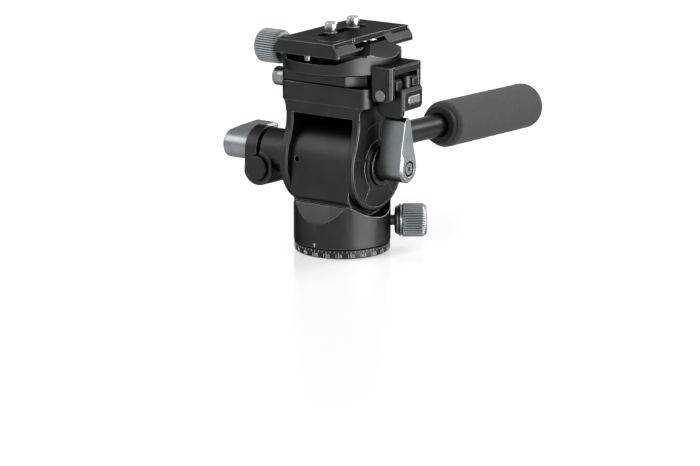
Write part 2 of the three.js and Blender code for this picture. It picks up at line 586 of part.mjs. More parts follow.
// A clamping lever in its own frame: the hub starts at x = 0 and the arm points up.
function leverShape(hubLength) {
  const hub = turned([
    [0, 0], [lever.hubRadius - lever.hubTaper, 0], [lever.hubRadius, lever.bevel],
    [lever.hubRadius, hubLength - lever.bevel], [lever.hubRadius - lever.bevel, hubLength],
    [0, hubLength],
  ], sidesMedium, "x");
  const root = lever.hubRadius;
  const shoulder = lever.armLength - lever.tipCut;
  const arm = outlineOf([
    [-root, 0], [root, 0], [lever.rootHalf, lever.shoulderEnd], [lever.tipHalf, shoulder],
    [lever.tipHalf - lever.tipCut, lever.armLength], [lever.tipCut - lever.tipHalf, lever.armLength],
    [-lever.tipHalf, shoulder], [-lever.rootHalf, lever.shoulderEnd],
  ]);
  const armStart = leverCup.height - clearance + sweepGap;
  const stepBack = outlineOf([
    [lever.shoulderStart, hubLength + overrun], [lever.shoulderStart, hubLength],
    [lever.shoulderEnd, hubLength - lever.armInset], [lever.armLength + overrun, hubLength - lever.armInset],
    [lever.armLength + overrun, hubLength + overrun],
  ].map(([along, across]) => [across, along]));
  const recess = pulled(stepBack, "y", -root - overrun, root + overrun);
  const armShape = pulled(arm, "x", armStart, hubLength, lever.bevel);
  const bore = bar("x", leverScrew.radius + clearance, -overrun, hubLength + overrun, [0, 0], sidesSmall);
  const counterbore = bar("x", lever.counterboreRadius, hubLength - lever.counterboreDepth, hubLength + overrun,
    [0, 0], sidesSmall);
  return cut(join(hub, armShape), recess, bore, counterbore);
}

// Its cap screw, from under the head back to the tapped shaft
function leverScrewShape(hubLength, reach) {
  const seatFace = hubLength - lever.counterboreDepth + clearance;
  const screwHead = bar("x", leverScrew.headRadius, seatFace, seatFace + leverScrew.headHeight, [0, 0], sidesSmall);
  const shank = bar("x", leverScrew.radius, -reach, seatFace + leverScrew.headHeight / 2, [0, 0], sidesSmall);
  const socket = bar("x", leverScrew.socket, seatFace + leverScrew.headHeight - leverScrew.socketDepth,
    seatFace + leverScrew.headHeight + overrun, [0, 0], sidesHexagon);
  return cut(join(screwHead, shank), socket);
}

const leverFace = cheekOuter + clearance;

function tiltLeverParts(parent) {
  const group = new THREE.Group();
  group.position.x = leverFace;
  parent.add(group);
  add(group, "tilt_lock_lever", leverShape(lever.hubLength), finish.greyMetal);
  const reach = leverFace - (cheekOuter - yoke.skin - clearance - shaft.threadDepth) - clearance;
  add(group, "tilt_lock_screw", leverScrewShape(lever.hubLength, reach), finish.darkSteel);
}

// Handle: a split clamp on the tilt axis, holding a straight rod with a foam grip
const clampLeft = handle.rodAcross - handle.slit / 2 - handle.jawThickness;
const clampLeverFace = clampLeft - clearance;

function handleClampShape() {
  const across = handle.rodAcross;
  const drop = -handle.rodDrop;
  const slitLeft = across - handle.slit / 2;
  const slitRight = across + handle.slit / 2;
  const hubRight = -cheekOuter - clearance;
  const jawOutline = new THREE.Shape();
  jawOutline.absarc(0, 0, handle.jawRadius, 0, Math.PI);
  jawOutline.lineTo(-handle.jawRadius, drop);
  jawOutline.lineTo(handle.jawRadius, drop);
  jawOutline.closePath();
  const outerJaw = pulled(jawOutline, "x", clampLeft, slitRight, edgeChamfer, sidesSmall);
  const inner = bar("x", handle.hubRadius, slitLeft, hubRight);
  const socketOutline = new THREE.Shape();
  const flat = handle.socketHalfWidth;
  const angle = Math.acos(flat / handle.socketRadius);
  socketOutline.absarc(across, drop, handle.socketRadius, angle, Math.PI - angle);
  socketOutline.absarc(across, drop, handle.socketRadius, Math.PI + angle, 2 * Math.PI - angle);
  socketOutline.closePath();
  const socket = pulled(socketOutline, "y", -handle.jawRadius, handle.socketBack, edgeChamfer);
  const bore = bar("y", handle.rodRadius + clearance, -handle.jawRadius - overrun, handle.socketBack + overrun,
    [across, drop]);
  const slit = box([slitLeft, -handle.jawRadius - overrun, drop], [slitRight, handle.socketBack + overrun,
    handle.jawRadius + overrun]);
  const screwHole = bar("x", leverScrew.radius + clearance, clampLeft - overrun, hubRight + overrun, [0, 0],
    sidesSmall);
  return cut(join(outerJaw, inner, socket), bore, slit, screwHole);
}

function handleParts(parent) {
  const group = new THREE.Group();
  group.rotation.x = -radians(handle.droop);
  parent.add(group);
  const place = [handle.rodAcross, 0, -handle.rodDrop];
  add(group, "handle_clamp", handleClampShape(), finish.blackBody);
  const rod = turned([
    [0, handle.rodFront], [handle.rodRadius - handle.rodChamfer, handle.rodFront],
    [handle.rodRadius, handle.rodFront + handle.rodChamfer], [handle.rodRadius, handle.rodEnd], [0, handle.rodEnd],
  ], sidesMedium, "y");
  add(group, "handle_rod", rod.translate(place), finish.blackBody);
  const hole = handle.rodRadius + clearance;
  const collarBack = grip.front - clearance;
  add(group, "grip_collar", turned([
    [hole, collarBack - collar.length], [collar.radius - edgeChamfer, collarBack - collar.length],
    [collar.radius, collarBack - collar.length + edgeChamfer], [collar.radius, collarBack], [hole, collarBack],
  ], sidesMedium, "y", true).translate(place), finish.blackSatin);
  const bend = grip.radius - grip.endRadius;
  const dome = Array.from({ length: domeSteps + 1 }, (_, i) => {
    const angle = (Math.PI / 2) * (i / domeSteps);
    return [grip.radius - bend * (1 - Math.cos(angle)), grip.end - bend + bend * Math.sin(angle)];
  });
  add(group, "foam_grip", turned([
    [0, handle.rodEnd + clearance], [hole, handle.rodEnd + clearance], [hole, grip.front],
    [grip.radius - grip.frontRound, grip.front], [grip.radius, grip.front + grip.frontRound],
    ...dome, [0, grip.end],
  ], sidesMedium, "y").translate(place), finish.foam);

  const leverGroup = new THREE.Group();
  leverGroup.position.x = clampLeverFace;
  leverGroup.rotation.x = radians(handle.leverAngle);
  group.add(leverGroup);
  add(leverGroup, "handle_lock_lever", mirrorX(leverShape(lever.handleHubLength)), finish.greyMetal);
  const reach = -clampLeverFace - (cheekOuter - yoke.skin - clearance - shaft.threadDepth) - clearance;
  const screw = leverScrewShape(lever.handleHubLength, reach);
  add(leverGroup, "handle_lock_screw", mirrorX(screw), finish.darkSteel);
}

// Flip hinge: a block on the side of the yoke with a ribbed knuckle, its pin, catch and release button
const hingeInner = yoke.blockHalfWidth + clearance;
const buttonDepth = button.length - button.proud;
const buttonSpringStart = hinge.right - buttonDepth - button.travel - buttonSpring.length;

// A plan with its two outer corners cut, standing between two heights
function cutCorners(inner, outer, half, corner, low, high) {
  const plan = outlineOf([
    [inner, -half], [outer - corner, -half], [outer, -half + corner], [outer, half - corner],
    [outer - corner, half], [inner, half],
  ]);
  return pulled(plan, "z", low, high);
}

function hingeBlockShape() {
  const innerBottom = hingeTop - hinge.innerHeight;
  const outerBottom = hingeTop - hinge.outerHeight;
  const half = hinge.halfWidth;
  const front = hinge.frontInset - half;
  const outline = outlineOf([
    [hingeInner, innerBottom + hinge.footCut], [hingeInner + hinge.footCut, innerBottom],
    [hinge.right - hinge.footCut, innerBottom], [hinge.right - hinge.edge, innerBottom + hinge.footRise],
    [hinge.right - hinge.edge, outerBottom], [hinge.right, outerBottom],
    [hinge.right, hingeTop - hinge.cornerCut], [hinge.right - hinge.cornerCut, hingeTop],
    [hingeInner, hingeTop],
  ]);
  const blockHalf = (half - front) / 2;
  const middle = (half + front) / 2;
  const trimmed = cutCorners(hingeInner, hinge.right, blockHalf, hinge.edge, innerBottom, hingeTop)
    .translate([0, middle, 0]);
  const block = pulled(outline, "y", front, half, edgeBreak).intersect(trimmed);
  const low = innerBottom - overrun;
  const rear = pulled(outlineOf([
    [front + hinge.footDepth, low], [front + hinge.footDepth, outerBottom], [half - hinge.rearCut, outerBottom],
    [half + overrun, outerBottom + hinge.rearCut + overrun], [half + overrun, low],
  ]), "x", hingeInner - overrun, hinge.right + overrun);
  const centre = [flipPin.across, pinHeight];
  const column = box([hingeInner, -half, hingeTop - edgeBreak], [hinge.ribFront, half, catchTop]);
  const knuckle = bar("y", knuckleRadius, -half, half, centre, sidesLarge).intersect(column);
  const pinHole = bar("y", flipPin.radius + clearance, -half - overrun, half + overrun, centre, sidesSmall);
  const side = catchPost.side;
  const ribSlot = box([catchPost.across - catchPost.radius - sweepGap, side - hinge.slotHalf, hingeTop],
    [hinge.right, side + hinge.slotHalf, platformBottom]);
  const catchFloor = hingeTop - catchPost.foot - catchPost.travel - clearance;
  const catchBore = bar("z", catchPost.radius + clearance, catchFloor, platformBottom,
    [catchPost.across, side], sidesMedium);
  const pocketPlan = roundedRectangle(button.halfWidth + clearance, button.height / 2 + clearance,
    button.corner + clearance, [button.side, pinHeight - button.drop]);
  const pocket = pulled(pocketPlan, "x", buttonSpringStart - clearance, hinge.right + overrun);
  return cut(join(block, knuckle), rear, pinHole, ribSlot, catchBore, pocket);
}

function hingeParts(group) {
  add(group, "flip_hinge_block", hingeBlockShape(), finish.blackBody);
  const centre = [flipPin.across, pinHeight];
  const pin = bar("y", flipPin.radius, -flipPin.halfLength, flipPin.halfLength, centre);
  add(group, "flip_pin", pin, finish.steel);
  const post = turned([
    [0, hingeTop - catchPost.foot], [catchPost.radius, hingeTop - catchPost.foot],
    [catchPost.radius, catchTop - edgeBreak], [catchPost.radius - edgeBreak, catchTop], [0, catchTop],
  ], sidesMedium).translate([catchPost.across, catchPost.side, 0]);
  add(group, "flip_catch", post, finish.darkSteel);
  const face = hinge.right + button.proud;
  const middle = pinHeight - button.drop;
  const buttonPlan = roundedRectangle(button.halfWidth, button.height / 2, button.corner, [button.side, middle]);
  add(group, "release_button", pulled(buttonPlan, "x", face - button.length, face, edgeBreak), finish.steel);
  const coil = spring(buttonSpring.radius, buttonSpring.wire, buttonSpring.turns,
    buttonSpring.length + button.travel - clearance, buttonSpring.steps, buttonSpring.sides);
  add(group, "button_spring", coil.translate([buttonSpringStart, button.side, middle]), finish.steel);
}

// Platform: the round deck with its hinge ears, fixed jaw and stop notches
const landTop = plateBottom + plate.landHeight;
const plateLipBottom = plateTop - plate.lipHeight;
const dovetailSlope = (plateLipBottom - landTop) / (plate.halfBottom - plate.halfTop);
const jawInner = plate.halfBottom + jaw.gap;
const jawLip = jawInner - (jawTop - landTop) / dovetailSlope;
const lipOuter = jawLip + jaw.lipEdge;

// One dovetail jaw, on the +X side, bounded by the deck's round edge and by its slanted ends
function jawShape(floorHeight) {
  const section = outlineOf([
    [jawInner, floorHeight], [platform.radius, floorHeight], [platform.radius, jawSlopeBottom],
    [lipOuter, jawTop], [jawLip, jawTop], [jawInner, landTop],
  ]);
  const ends = outlineOf([
    [-jaw.halfLength, floorHeight], [jaw.halfLength, floorHeight], [jaw.halfLength, platformTop],
    [jaw.topHalfLength, jawTop], [-jaw.topHalfLength, jawTop], [-jaw.halfLength, platformTop],
  ]);
  const round = bar("z", platform.radius, floorHeight - overrun, jawTop + overrun, [0, 0], sidesLarge);
  return pulled(section, "y", -jaw.halfLength, jaw.halfLength)
    .intersect(pulled(ends, "x", 0, platform.radius)).intersect(round);
}

// What the fixed jaw's outer slope takes off the deck's rim
function jawSlopeCut() {
  const slope = (jawTop - jawSlopeBottom) / (platform.radius - lipOuter);
  const outer = platform.radius + overrun;
  const wedge = outlineOf([
    [lipOuter, jawTop], [outer, jawSlopeBottom - slope * overrun], [outer, jawTop],
  ]);
  return pulled(wedge, "y", -jaw.halfLength, jaw.halfLength);
}

function earArm() {
  const pinX = flipPin.across;
  const outline = new THREE.Shape();
  outline.absarc(pinX, pinHeight, ear.armRadius, Math.PI, (3 * Math.PI) / 2);
  outline.lineTo(pinX + ear.armFoot, pinHeight - ear.armRadius);
  outline.lineTo(ear.right, pinHeight - ear.armDrop);
  outline.lineTo(ear.right, earTop);
  outline.lineTo(pinX - ear.armRadius, earTop);
  outline.closePath();
  const inner = hinge.halfWidth + sweepGap;
  return pulled(outline, "y", inner, inner + ear.armThickness, edgeChamfer);
}

function platformShape() {
  const deck = turned([
    [0, platformBottom], [platform.radius - platform.chamfer, platformBottom],
    [platform.radius, platformBottom + platform.chamfer], [platform.radius, platformTop - platform.chamfer],
    [platform.radius - platform.chamfer, platformTop], [0, platformTop],
  ], sidesLarge);
  const notchFloor = platformTop - stopNotch.depth;
  const notchEnds = [-1, 1].map((side) => stopNotch.middle + side * stopNotch.halfWidth);
  const rampSlope = stopNotch.ramp / stopNotch.depth;
  const notchOutline = outlineOf([
    [notchEnds[0] - overrun * rampSlope, platformTop + overrun], [notchEnds[0], notchFloor], [notchEnds[1], notchFloor],
    [notchEnds[1] + stopNotch.ramp + overrun * rampSlope, platformTop + overrun],
  ]);
  const notch = pulled(notchOutline, "y", -platform.radius - overrun, -stopNotch.inner);
  const earHalf = hinge.halfWidth + sweepGap + ear.armThickness;
  const barOutline = outlineOf([
    [ear.inner, earBarBottom], [ear.right, earBarBottom], [ear.right, earTop - ear.bevel],
    [ear.right - ear.bevel, earTop], [ear.inner, earTop],
  ]);
  const reliefHalf = hinge.halfWidth + sweepGap;
  const relief = box([0, -reliefHalf, earBarBottom - overrun], [ear.right - ear.lip, reliefHalf,
    earBarBottom + ear.relief]);
  const topBar = pulled(barOutline, "y", -earHalf, earHalf, edgeBreak).subtract(relief);
  const arm = earArm();
  const armTrim = box([0, -earHalf - overrun, 0], [flipPin.across - ear.armRadius, earHalf + overrun, earTop]);
  const lugShape = box([-lug.outer, -lug.halfWidth, lugBottom],
    [-lug.outer + lug.thickness, lug.halfWidth, platformBottom + overrun]);
  const pinHole = bar("y", flipPin.radius + clearance, -earHalf - overrun, earHalf + overrun,
    [flipPin.across, pinHeight], sidesSmall);
  const jawRoom = box([-platform.radius - overrun, -jaw.halfLength - clearance, jawFloor - clearance],
    [-jawInner + clearance, jaw.halfLength + clearance, platformTop + overrun]);
  const screwHole = bar("x", clampScrew.radius + clearance, -platform.radius - overrun, clampScrew.tip + clearance,
    [0, clampHeight], sidesSmall);
  const lugInner = -lug.outer + lug.thickness;
  const lugHole = bar("x", plunger.pinRadius + clearance, -lug.outer - overrun, lugInner + overrun,
    [0, plungerHeight], sidesSmall);
  const arms = cut(join(arm, mirrorY(arm)), armTrim);
  const trimmed = cutCorners(0, ear.right, earHalf, ear.edge, lugBottom, earTop);
  const deckAndJaw = join(deck, jawShape(jawSlopeBottom - overrun));
  const round = cut(deckAndJaw, jawRoom, jawSlopeCut(), notch, mirrorY(notch));
  const ears = join(topBar, arms).intersect(trimmed);
  const postHalf = catchPost.radius + sweepGap;
  const postSweep = bar("y", catchReach + clearance, catchPost.side - postHalf, catchPost.side + postHalf,
    [flipPin.across, pinHeight], sidesLarge);
  return cut(join(round, ears, lugShape), pinHole, screwHole, lugHole, postSweep);
}

function movingJawShape() {
  const whole = mirrorX(jawShape(jawFloor));
  const screwHole = bar("x", clampScrew.radius + clearance, -platform.radius - overrun, -jawLip + overrun,
    [0, clampHeight], sidesSmall);
  return cut(whole, screwHole);
}

function platformParts(group) {
  add(group, "flip_platform", platformShape(), finish.blackBody);
  add(group, "clamp_jaw", movingJawShape(), finish.blackBody);
  const knob = mirrorX(knobShape(clampKnob.radius, clampKnob.ridges, clampKnob.ridgeDepth, clampKnob.right,
    clampKnob.left));
  const neck = bar("x", clampKnob.neckRadius, -clampKnob.right - overrun, -platform.radius - clearance);
  const middle = -(clampKnob.left + clampKnob.right) / 2;
  const hole = bar("x", clampScrew.radius + clearance, middle, -platform.radius, [0, 0], sidesSmall);
  add(group, "clamp_knob", cut(join(knob, neck), hole).translate([0, 0, clampHeight]), finish.greyMetal);
  add(group, "clamp_screw", bar("x", clampScrew.radius, middle + clearance, clampScrew.tip,
    [0, clampHeight], sidesSmall), finish.steel);
}

// Platform lock: a plunger whose pin enters the platform's lug when it is pushed in
function plungerParts(group) {
  const knob = turned([
    [0, -plunger.left], [plunger.radius - plunger.round, -plunger.left],
    [plunger.radius, plunger.round - plunger.left], [plunger.radius, -plunger.right - plunger.round],
    [plunger.radius - plunger.round, -plunger.right], [0, -plunger.right],
  ], sidesMedium, "x");
  const neckEnd = -yoke.blockHalfWidth - plunger.travel - sweepGap;
  const neck = bar("x", plunger.neckRadius, -plunger.right - overrun, neckEnd);
  const middle = -(plunger.left + plunger.right) / 2;
  const hole = bar("x", plunger.pinRadius + clearance, middle, -yoke.blockHalfWidth, [0, 0], sidesSmall);
  add(group, "platform_lock_knob", cut(join(knob, neck), hole).translate([0, 0, plungerHeight]), finish.greyMetal);
  const tip = -lug.outer - sweepGap;
  const pin = turned([
    [0, tip], [plunger.pinRadius - edgeChamfer, tip], [plunger.pinRadius, tip - edgeChamfer],
    [plunger.pinRadius, middle + clearance], [0, middle + clearance],
  ], sidesSmall, "x");
  add(group, "platform_lock_pin", pin.translate([0, 0, plungerHeight]), finish.steel);
}

// Quick-release plate with its two camera screws and safety stops
const pocketRoof = plateTop - plate.skin;
const screwHeadTop = pocketRoof - cameraScrew.headDrop;
const screwHeadBottom = screwHeadTop - cameraScrew.headHeight;
const screwMiddles = [cameraScrew.front, cameraScrew.rear];
const slotFront = cameraScrew.front - cameraScrew.travel - cameraScrew.radius - clearance;
const slotRear = cameraScrew.rear + cameraScrew.travel + cameraScrew.radius + clearance;

function plateShape() {
  const half = (side) => [
    [side * plate.halfTop, plateTop], [side * plate.halfTop, plateLipBottom], [side * plate.halfBottom, landTop],
    [side * plate.halfBottom, plateBottom],
  ];
  const section = outlineOf([...half(1), ...half(-1).reverse()]);
  const corners = cutCorners(0, plate.halfBottom, plate.halfLength, plate.cornerCut, plateBottom, plateTop);
  const length = pulled(section, "y", -plate.halfLength, plate.halfLength, edgeBreak)
    .intersect(join(corners, mirrorX(corners))).translate([0, plate.middle, 0]);
  const wide = plate.halfBottom + overrun;
  const rimOuter = plate.halfTop + plate.rimProud;
  const rimStart = plate.rimMiddle - plate.rimHalf;
  const rimEnd = plate.rimMiddle + plate.rimHalf;
  const rim = box([rimOuter - plate.rimWall, rimStart, plateTop - plate.rimHeight],
    [rimOuter, rimEnd, plateTop + plate.rimRise]);
  const slotHalf = (slotRear - slotFront) / 2;
  const slotMiddle = (slotRear + slotFront) / 2;
  const slotRadius = cameraScrew.radius + clearance;
  const slot = pulled(roundedRectangle(slotRadius, slotHalf, slotRadius, [cameraScrew.across, slotMiddle]), "z",
    plateBottom - overrun, plateTop + overrun);
  const spread = cameraScrew.headRadius + clearance - slotRadius;
  const pocket = pulled(roundedRectangle(plate.pocketHalfWidth, slotHalf + spread, slotRadius,
    [0, slotMiddle]), "z", plateBottom - overrun, pocketRoof);
  const window = box([-wide, rimStart, plateBottom + plate.windowRise], [wide, rimEnd, pocketRoof]);
  return cut(join(length, rim), slot, pocket, window);
}

function cameraScrewShape(middle) {
  const top = plateTop + cameraScrew.proud;
  const tip = top - cameraScrew.tipChamfer;
  const bodyShape = turned([
    [0, screwHeadBottom], [cameraScrew.headRadius - edgeChamfer, screwHeadBottom],
    [cameraScrew.headRadius, screwHeadBottom + edgeChamfer], [cameraScrew.headRadius, screwHeadTop],
    [cameraScrew.radius, screwHeadTop], [cameraScrew.radius, tip],
    [cameraScrew.radius - cameraScrew.tipChamfer, top], [0, top],
  ], sidesScrew);
  const slotHalf = cameraScrew.slotWidth / 2;
  const topSlot = box([-cameraScrew.radius - overrun, -slotHalf, top - cameraScrew.slotDepth],
    [cameraScrew.radius + overrun, slotHalf, top + overrun]).rotate([0, 0, cameraScrew.slotAngle]);
  return cut(bodyShape, topSlot).translate([cameraScrew.across, middle, 0]);
}

function plateParts(group) {
  add(group, "quick_release_plate", plateShape(), finish.blackBody);
  screwMiddles.forEach((middle, i) => {
    const end = i === 0 ? "front" : "rear";
    const clipBottom = screwHeadTop + clearance;
    const washer = ring(clip.outer, cameraScrew.radius + clearance, clipBottom, clipBottom + clip.thickness,
      sidesScrew);
    add(group, `camera_screw_clip_${end}`, washer.translate([cameraScrew.across, middle, 0]), finish.darkSteel);
    add(group, `camera_screw_${end}`, cameraScrewShape(middle), finish.steel);
    const side = i === 0 ? -1 : 1;
    const peg = bar("z", stopPin.radius, plateBottom - stopPin.length, plateBottom,
      [cameraScrew.across, side * stopPin.offset], sidesSmall);
    add(group, `plate_stop_pin_${end}`, peg, finish.steel);
  });
}

baseParts(head);
panParts(head);
panKnobParts(head);
yokeParts(tilting);
tiltLeverParts(tilting);
handleParts(tilting);
hingeParts(tilting);
platformParts(tilting);
plungerParts(tilting);
plateParts(tilting);

export default head;
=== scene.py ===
import json
import math

import bmesh
import bpy
from mathutils import Matrix, Vector, noise


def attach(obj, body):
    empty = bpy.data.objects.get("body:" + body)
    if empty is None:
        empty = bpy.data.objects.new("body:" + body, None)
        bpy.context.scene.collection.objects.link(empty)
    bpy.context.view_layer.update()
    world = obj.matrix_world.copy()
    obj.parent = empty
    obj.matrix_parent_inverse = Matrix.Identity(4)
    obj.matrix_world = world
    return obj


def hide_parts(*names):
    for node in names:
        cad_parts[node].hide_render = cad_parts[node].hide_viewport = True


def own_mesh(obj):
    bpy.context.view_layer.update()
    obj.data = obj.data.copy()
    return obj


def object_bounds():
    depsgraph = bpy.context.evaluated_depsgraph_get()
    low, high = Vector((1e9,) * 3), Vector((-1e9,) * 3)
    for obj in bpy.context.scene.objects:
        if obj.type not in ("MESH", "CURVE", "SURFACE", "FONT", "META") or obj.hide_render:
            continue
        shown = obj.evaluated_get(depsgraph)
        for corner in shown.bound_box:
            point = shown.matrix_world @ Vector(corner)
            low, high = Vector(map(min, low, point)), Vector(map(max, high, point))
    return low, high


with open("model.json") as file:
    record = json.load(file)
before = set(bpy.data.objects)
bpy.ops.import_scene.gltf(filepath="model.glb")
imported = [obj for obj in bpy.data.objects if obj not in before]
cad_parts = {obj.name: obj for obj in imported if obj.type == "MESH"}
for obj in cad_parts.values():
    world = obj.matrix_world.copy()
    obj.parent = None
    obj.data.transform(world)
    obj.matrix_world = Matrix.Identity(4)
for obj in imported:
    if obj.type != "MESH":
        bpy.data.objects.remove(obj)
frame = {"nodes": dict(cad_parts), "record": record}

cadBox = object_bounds()
nodes = frame["nodes"]
bodyOf = {node: body for body, members in frame["record"]["behaviour"]["bodies"].items() for node in members}
mm = 0.001
print("frame loaded:", len(nodes), "nodes")

# A long lens from the front right, a little above the head
cameraView = {
    "place": (0.765996, -1.119800, 0.352603),
    "right": (0.826945, 0.562282, 0.0),
    "up": (-0.138730, 0.204029, 0.969085),
    "lens": 148.26,
    "sensorWidth": 36.0,
    "nearest": 0.05,
    "farthest": 30.0,
}


def makeCamera(view):
    lensData = bpy.data.cameras.new("studioCamera")
    lensData.lens = view["lens"]
    lensData.sensor_fit = "HORIZONTAL"
    lensData.sensor_width = view["sensorWidth"]
    lensData.clip_start = view["nearest"]
    lensData.clip_end = view["farthest"]
    camera = bpy.data.objects.new("studioCamera", lensData)
    right, up = Vector(view["right"]), Vector(view["up"])
    turn = Matrix((right, up, right.cross(up))).transposed().to_4x4()
    camera.matrix_world = Matrix.Translation(view["place"]) @ turn
    bpy.context.scene.collection.objects.link(camera)
    bpy.context.scene.camera = camera


makeCamera(cameraView)
print("camera set")


def toLinear(hexColour):
    parts = [int(hexColour[i:i + 2], 16) / 255 for i in (1, 3, 5)]
    return tuple(c / 12.92 if c <= 0.04045 else ((c + 0.055) / 1.055) ** 2.4 for c in parts) + (1.0,)


def addNode(tree, kind, settings=None, links=None):
    # settings name the node's own options or its inputs; links join other nodes' outputs to its inputs
    node = tree.nodes.new(kind)
    for name, value in (settings or {}).items():
        if isinstance(name, str) and hasattr(node, name):
            setattr(node, name, value)
        else:
            node.inputs[name].default_value = value
    for name, source in (links or {}).items():
        tree.links.new(source, node.inputs[name])
    return node


def newMaterial(name):
    material = bpy.data.materials.new(name)
    material.use_nodes = True
    material.node_tree.nodes.clear()
    return material


def perMm(size):
    return 1 / (size * mm)


# A noise pattern rarely leaves the middle of its range. These spread its middle over 0 to 1.
noiseSpread = {"From Min": 0.3, "From Max": 0.7}
patchSpread = {"From Min": 0.35, "From Max": 0.65}
# how strongly a metal's grain or tool marks tilt its surface
metalRelief = 0.5

# Aluminium parts. Each has a blasted or turned grain, slow patches of tone from the dye bath,
# and edges painted paler: partly wear where hands and cases touch them, partly a painted highlight.
# The real blast grain is about 0.05 mm; it is drawn coarser, so that it shows at this distance.
# "grazing" is how much the dyed skin still reflects at a flat angle, which keeps its far edges dark.
anodisedLooks = {
    # bead-blasted, then dyed black: dark satin skin, soft highlights
    "blackAnodisedAluminium": {
        "dark": "#2e2e2e", "pale": "#343434", "edge": "#9a9a9a", "smooth": 0.36, "rough": 0.42,
        "grain": 0.5, "relief": 0.003, "patch": 14, "edgeRadius": 0.35, "grazing": 0.36,
    },
    # turned, then dyed black: finer and glossier than the blasted parts
    "blackTurnedAluminium": {
        "dark": "#2c2c2c", "pale": "#323232", "edge": "#7c7c7c", "smooth": 0.27, "rough": 0.32,
        "grain": 0.7, "relief": 0.0015, "patch": 20, "edgeRadius": 0.25, "grazing": 0.6,
    },
    # blasted and anodised titanium grey: satin metal with a cool cast, edges painted bright as wear and
    # painted highlight
    "greyAnodisedAluminium": {
        "dark": "#70777a", "pale": "#7a8183", "edge": "#f0f2f2", "smooth": 0.27, "rough": 0.33,
        "grain": 0.4, "relief": 0.002, "patch": 9, "edgeRadius": 0.35, "grazing": 0.5,
    },
}
# Narrow grooves and inner corners get painted shade: ambient occlusion darkens their colour towards a dark
# colour, which gives the knurls their lines.
# The two levels are how open the surface is where the painted shade is full and where it ends, within "reach"
# mm.
creviceShade = {"reach": 0.9, "deep": 0.3, "unshaded": 0.8, "colour": "#161717", "samples": 6}
# Edges are painted paler, partly as wear and partly as a painted highlight, where the rounded normal leaves
# the true one, from "flat" to "corner" in how well the two agree, and where the surface bulges, from "even"
# to "outward" in its pointiness.
edgeWearAndHighlight = {"flat": 0.985, "corner": 0.87, "most": 0.9, "even": 0.5, "outward": 0.53, "samples": 4}


def anodisedAluminium(name, look):
    material = newMaterial(name)
    tree = material.node_tree
    place = addNode(tree, "ShaderNodeTexCoord").outputs["Object"]
    grain = addNode(tree, "ShaderNodeTexNoise", {"Scale": perMm(look["grain"]), "Detail": 2.0}, {
        "Vector": place,
    })
    patches = addNode(tree, "ShaderNodeTexNoise", {"Scale": perMm(look["patch"]), "Detail": 3.0}, {
        "Vector": place,
    })
    tone = addNode(tree, "ShaderNodeMapRange", patchSpread, {"Value": patches.outputs[0]})
    skin = addNode(tree, "ShaderNodeMix", {
        "data_type": "RGBA", 6: toLinear(look["dark"]), 7: toLinear(look["pale"]),
    }, {0: tone.outputs[0]})
    # painted shade: ambient occlusion darkens the skin colour in grooves and inner corners
    openness = addNode(tree, "ShaderNodeAmbientOcclusion", {
        "samples": creviceShade["samples"], "Distance": creviceShade["reach"] * mm,
    })
    shadeMask = addNode(tree, "ShaderNodeMapRange", {
        "From Min": creviceShade["deep"], "From Max": creviceShade["unshaded"], "To Min": 1.0, "To Max": 0.0,
    }, {"Value": openness.outputs["AO"]})
    shadedSkin = addNode(tree, "ShaderNodeMix", {"data_type": "RGBA", 7: toLinear(creviceShade["colour"])}, {
        0: shadeMask.outputs[0], 6: skin.outputs[2],
    })
    rounded = addNode(tree, "ShaderNodeBevel", {
        "samples": edgeWearAndHighlight["samples"], "Radius": look["edgeRadius"] * mm,
    })
    surface = addNode(tree, "ShaderNodeNewGeometry").outputs
    agreement = addNode(tree, "ShaderNodeVectorMath", {"operation": "DOT_PRODUCT"}, {
        0: rounded.outputs[0], 1: surface["Normal"],
    })
    corner = addNode(tree, "ShaderNodeMapRange", {
        "From Min": edgeWearAndHighlight["flat"], "From Max": edgeWearAndHighlight["corner"], "To Max": edgeWearAndHighlight["most"],
    }, {"Value": agreement.outputs["Value"]})
    outward = addNode(tree, "ShaderNodeMapRange", {
        "From Min": edgeWearAndHighlight["even"], "From Max": edgeWearAndHighlight["outward"],
    }, {"Value": surface["Pointiness"]})
    wearAndHighlight = addNode(tree, "ShaderNodeMath", {"operation": "MULTIPLY"}, {
        0: corner.outputs[0], 1: outward.outputs[0],
    })
    # edges mixed towards the pale edge colour: partly wear, partly a painted highlight
    colour = addNode(tree, "ShaderNodeMix", {"data_type": "RGBA", 7: toLinear(look["edge"])}, {
        0: wearAndHighlight.outputs[0], 6: shadedSkin.outputs[2],
    })
    polish = addNode(tree, "ShaderNodeMapRange", {
        **noiseSpread, "To Min": look["smooth"], "To Max": look["rough"],
    }, {"Value": grain.outputs[0]})
    relief = addNode(tree, "ShaderNodeBump", {"Strength": metalRelief, "Distance": look["relief"] * mm}, {
        "Height": grain.outputs[0], "Normal": rounded.outputs[0],
    })
    shader = addNode(tree, "ShaderNodeBsdfPrincipled", {
        "Metallic": 1.0, "Specular Tint": (look["grazing"],) * 3 + (1.0,),
    }, {"Base Color": colour.outputs[2], "Roughness": polish.outputs[0], "Normal": relief.outputs[0]})
    addNode(tree, "ShaderNodeOutputMaterial", None, {"Surface": shader.outputs[0]})
    return material


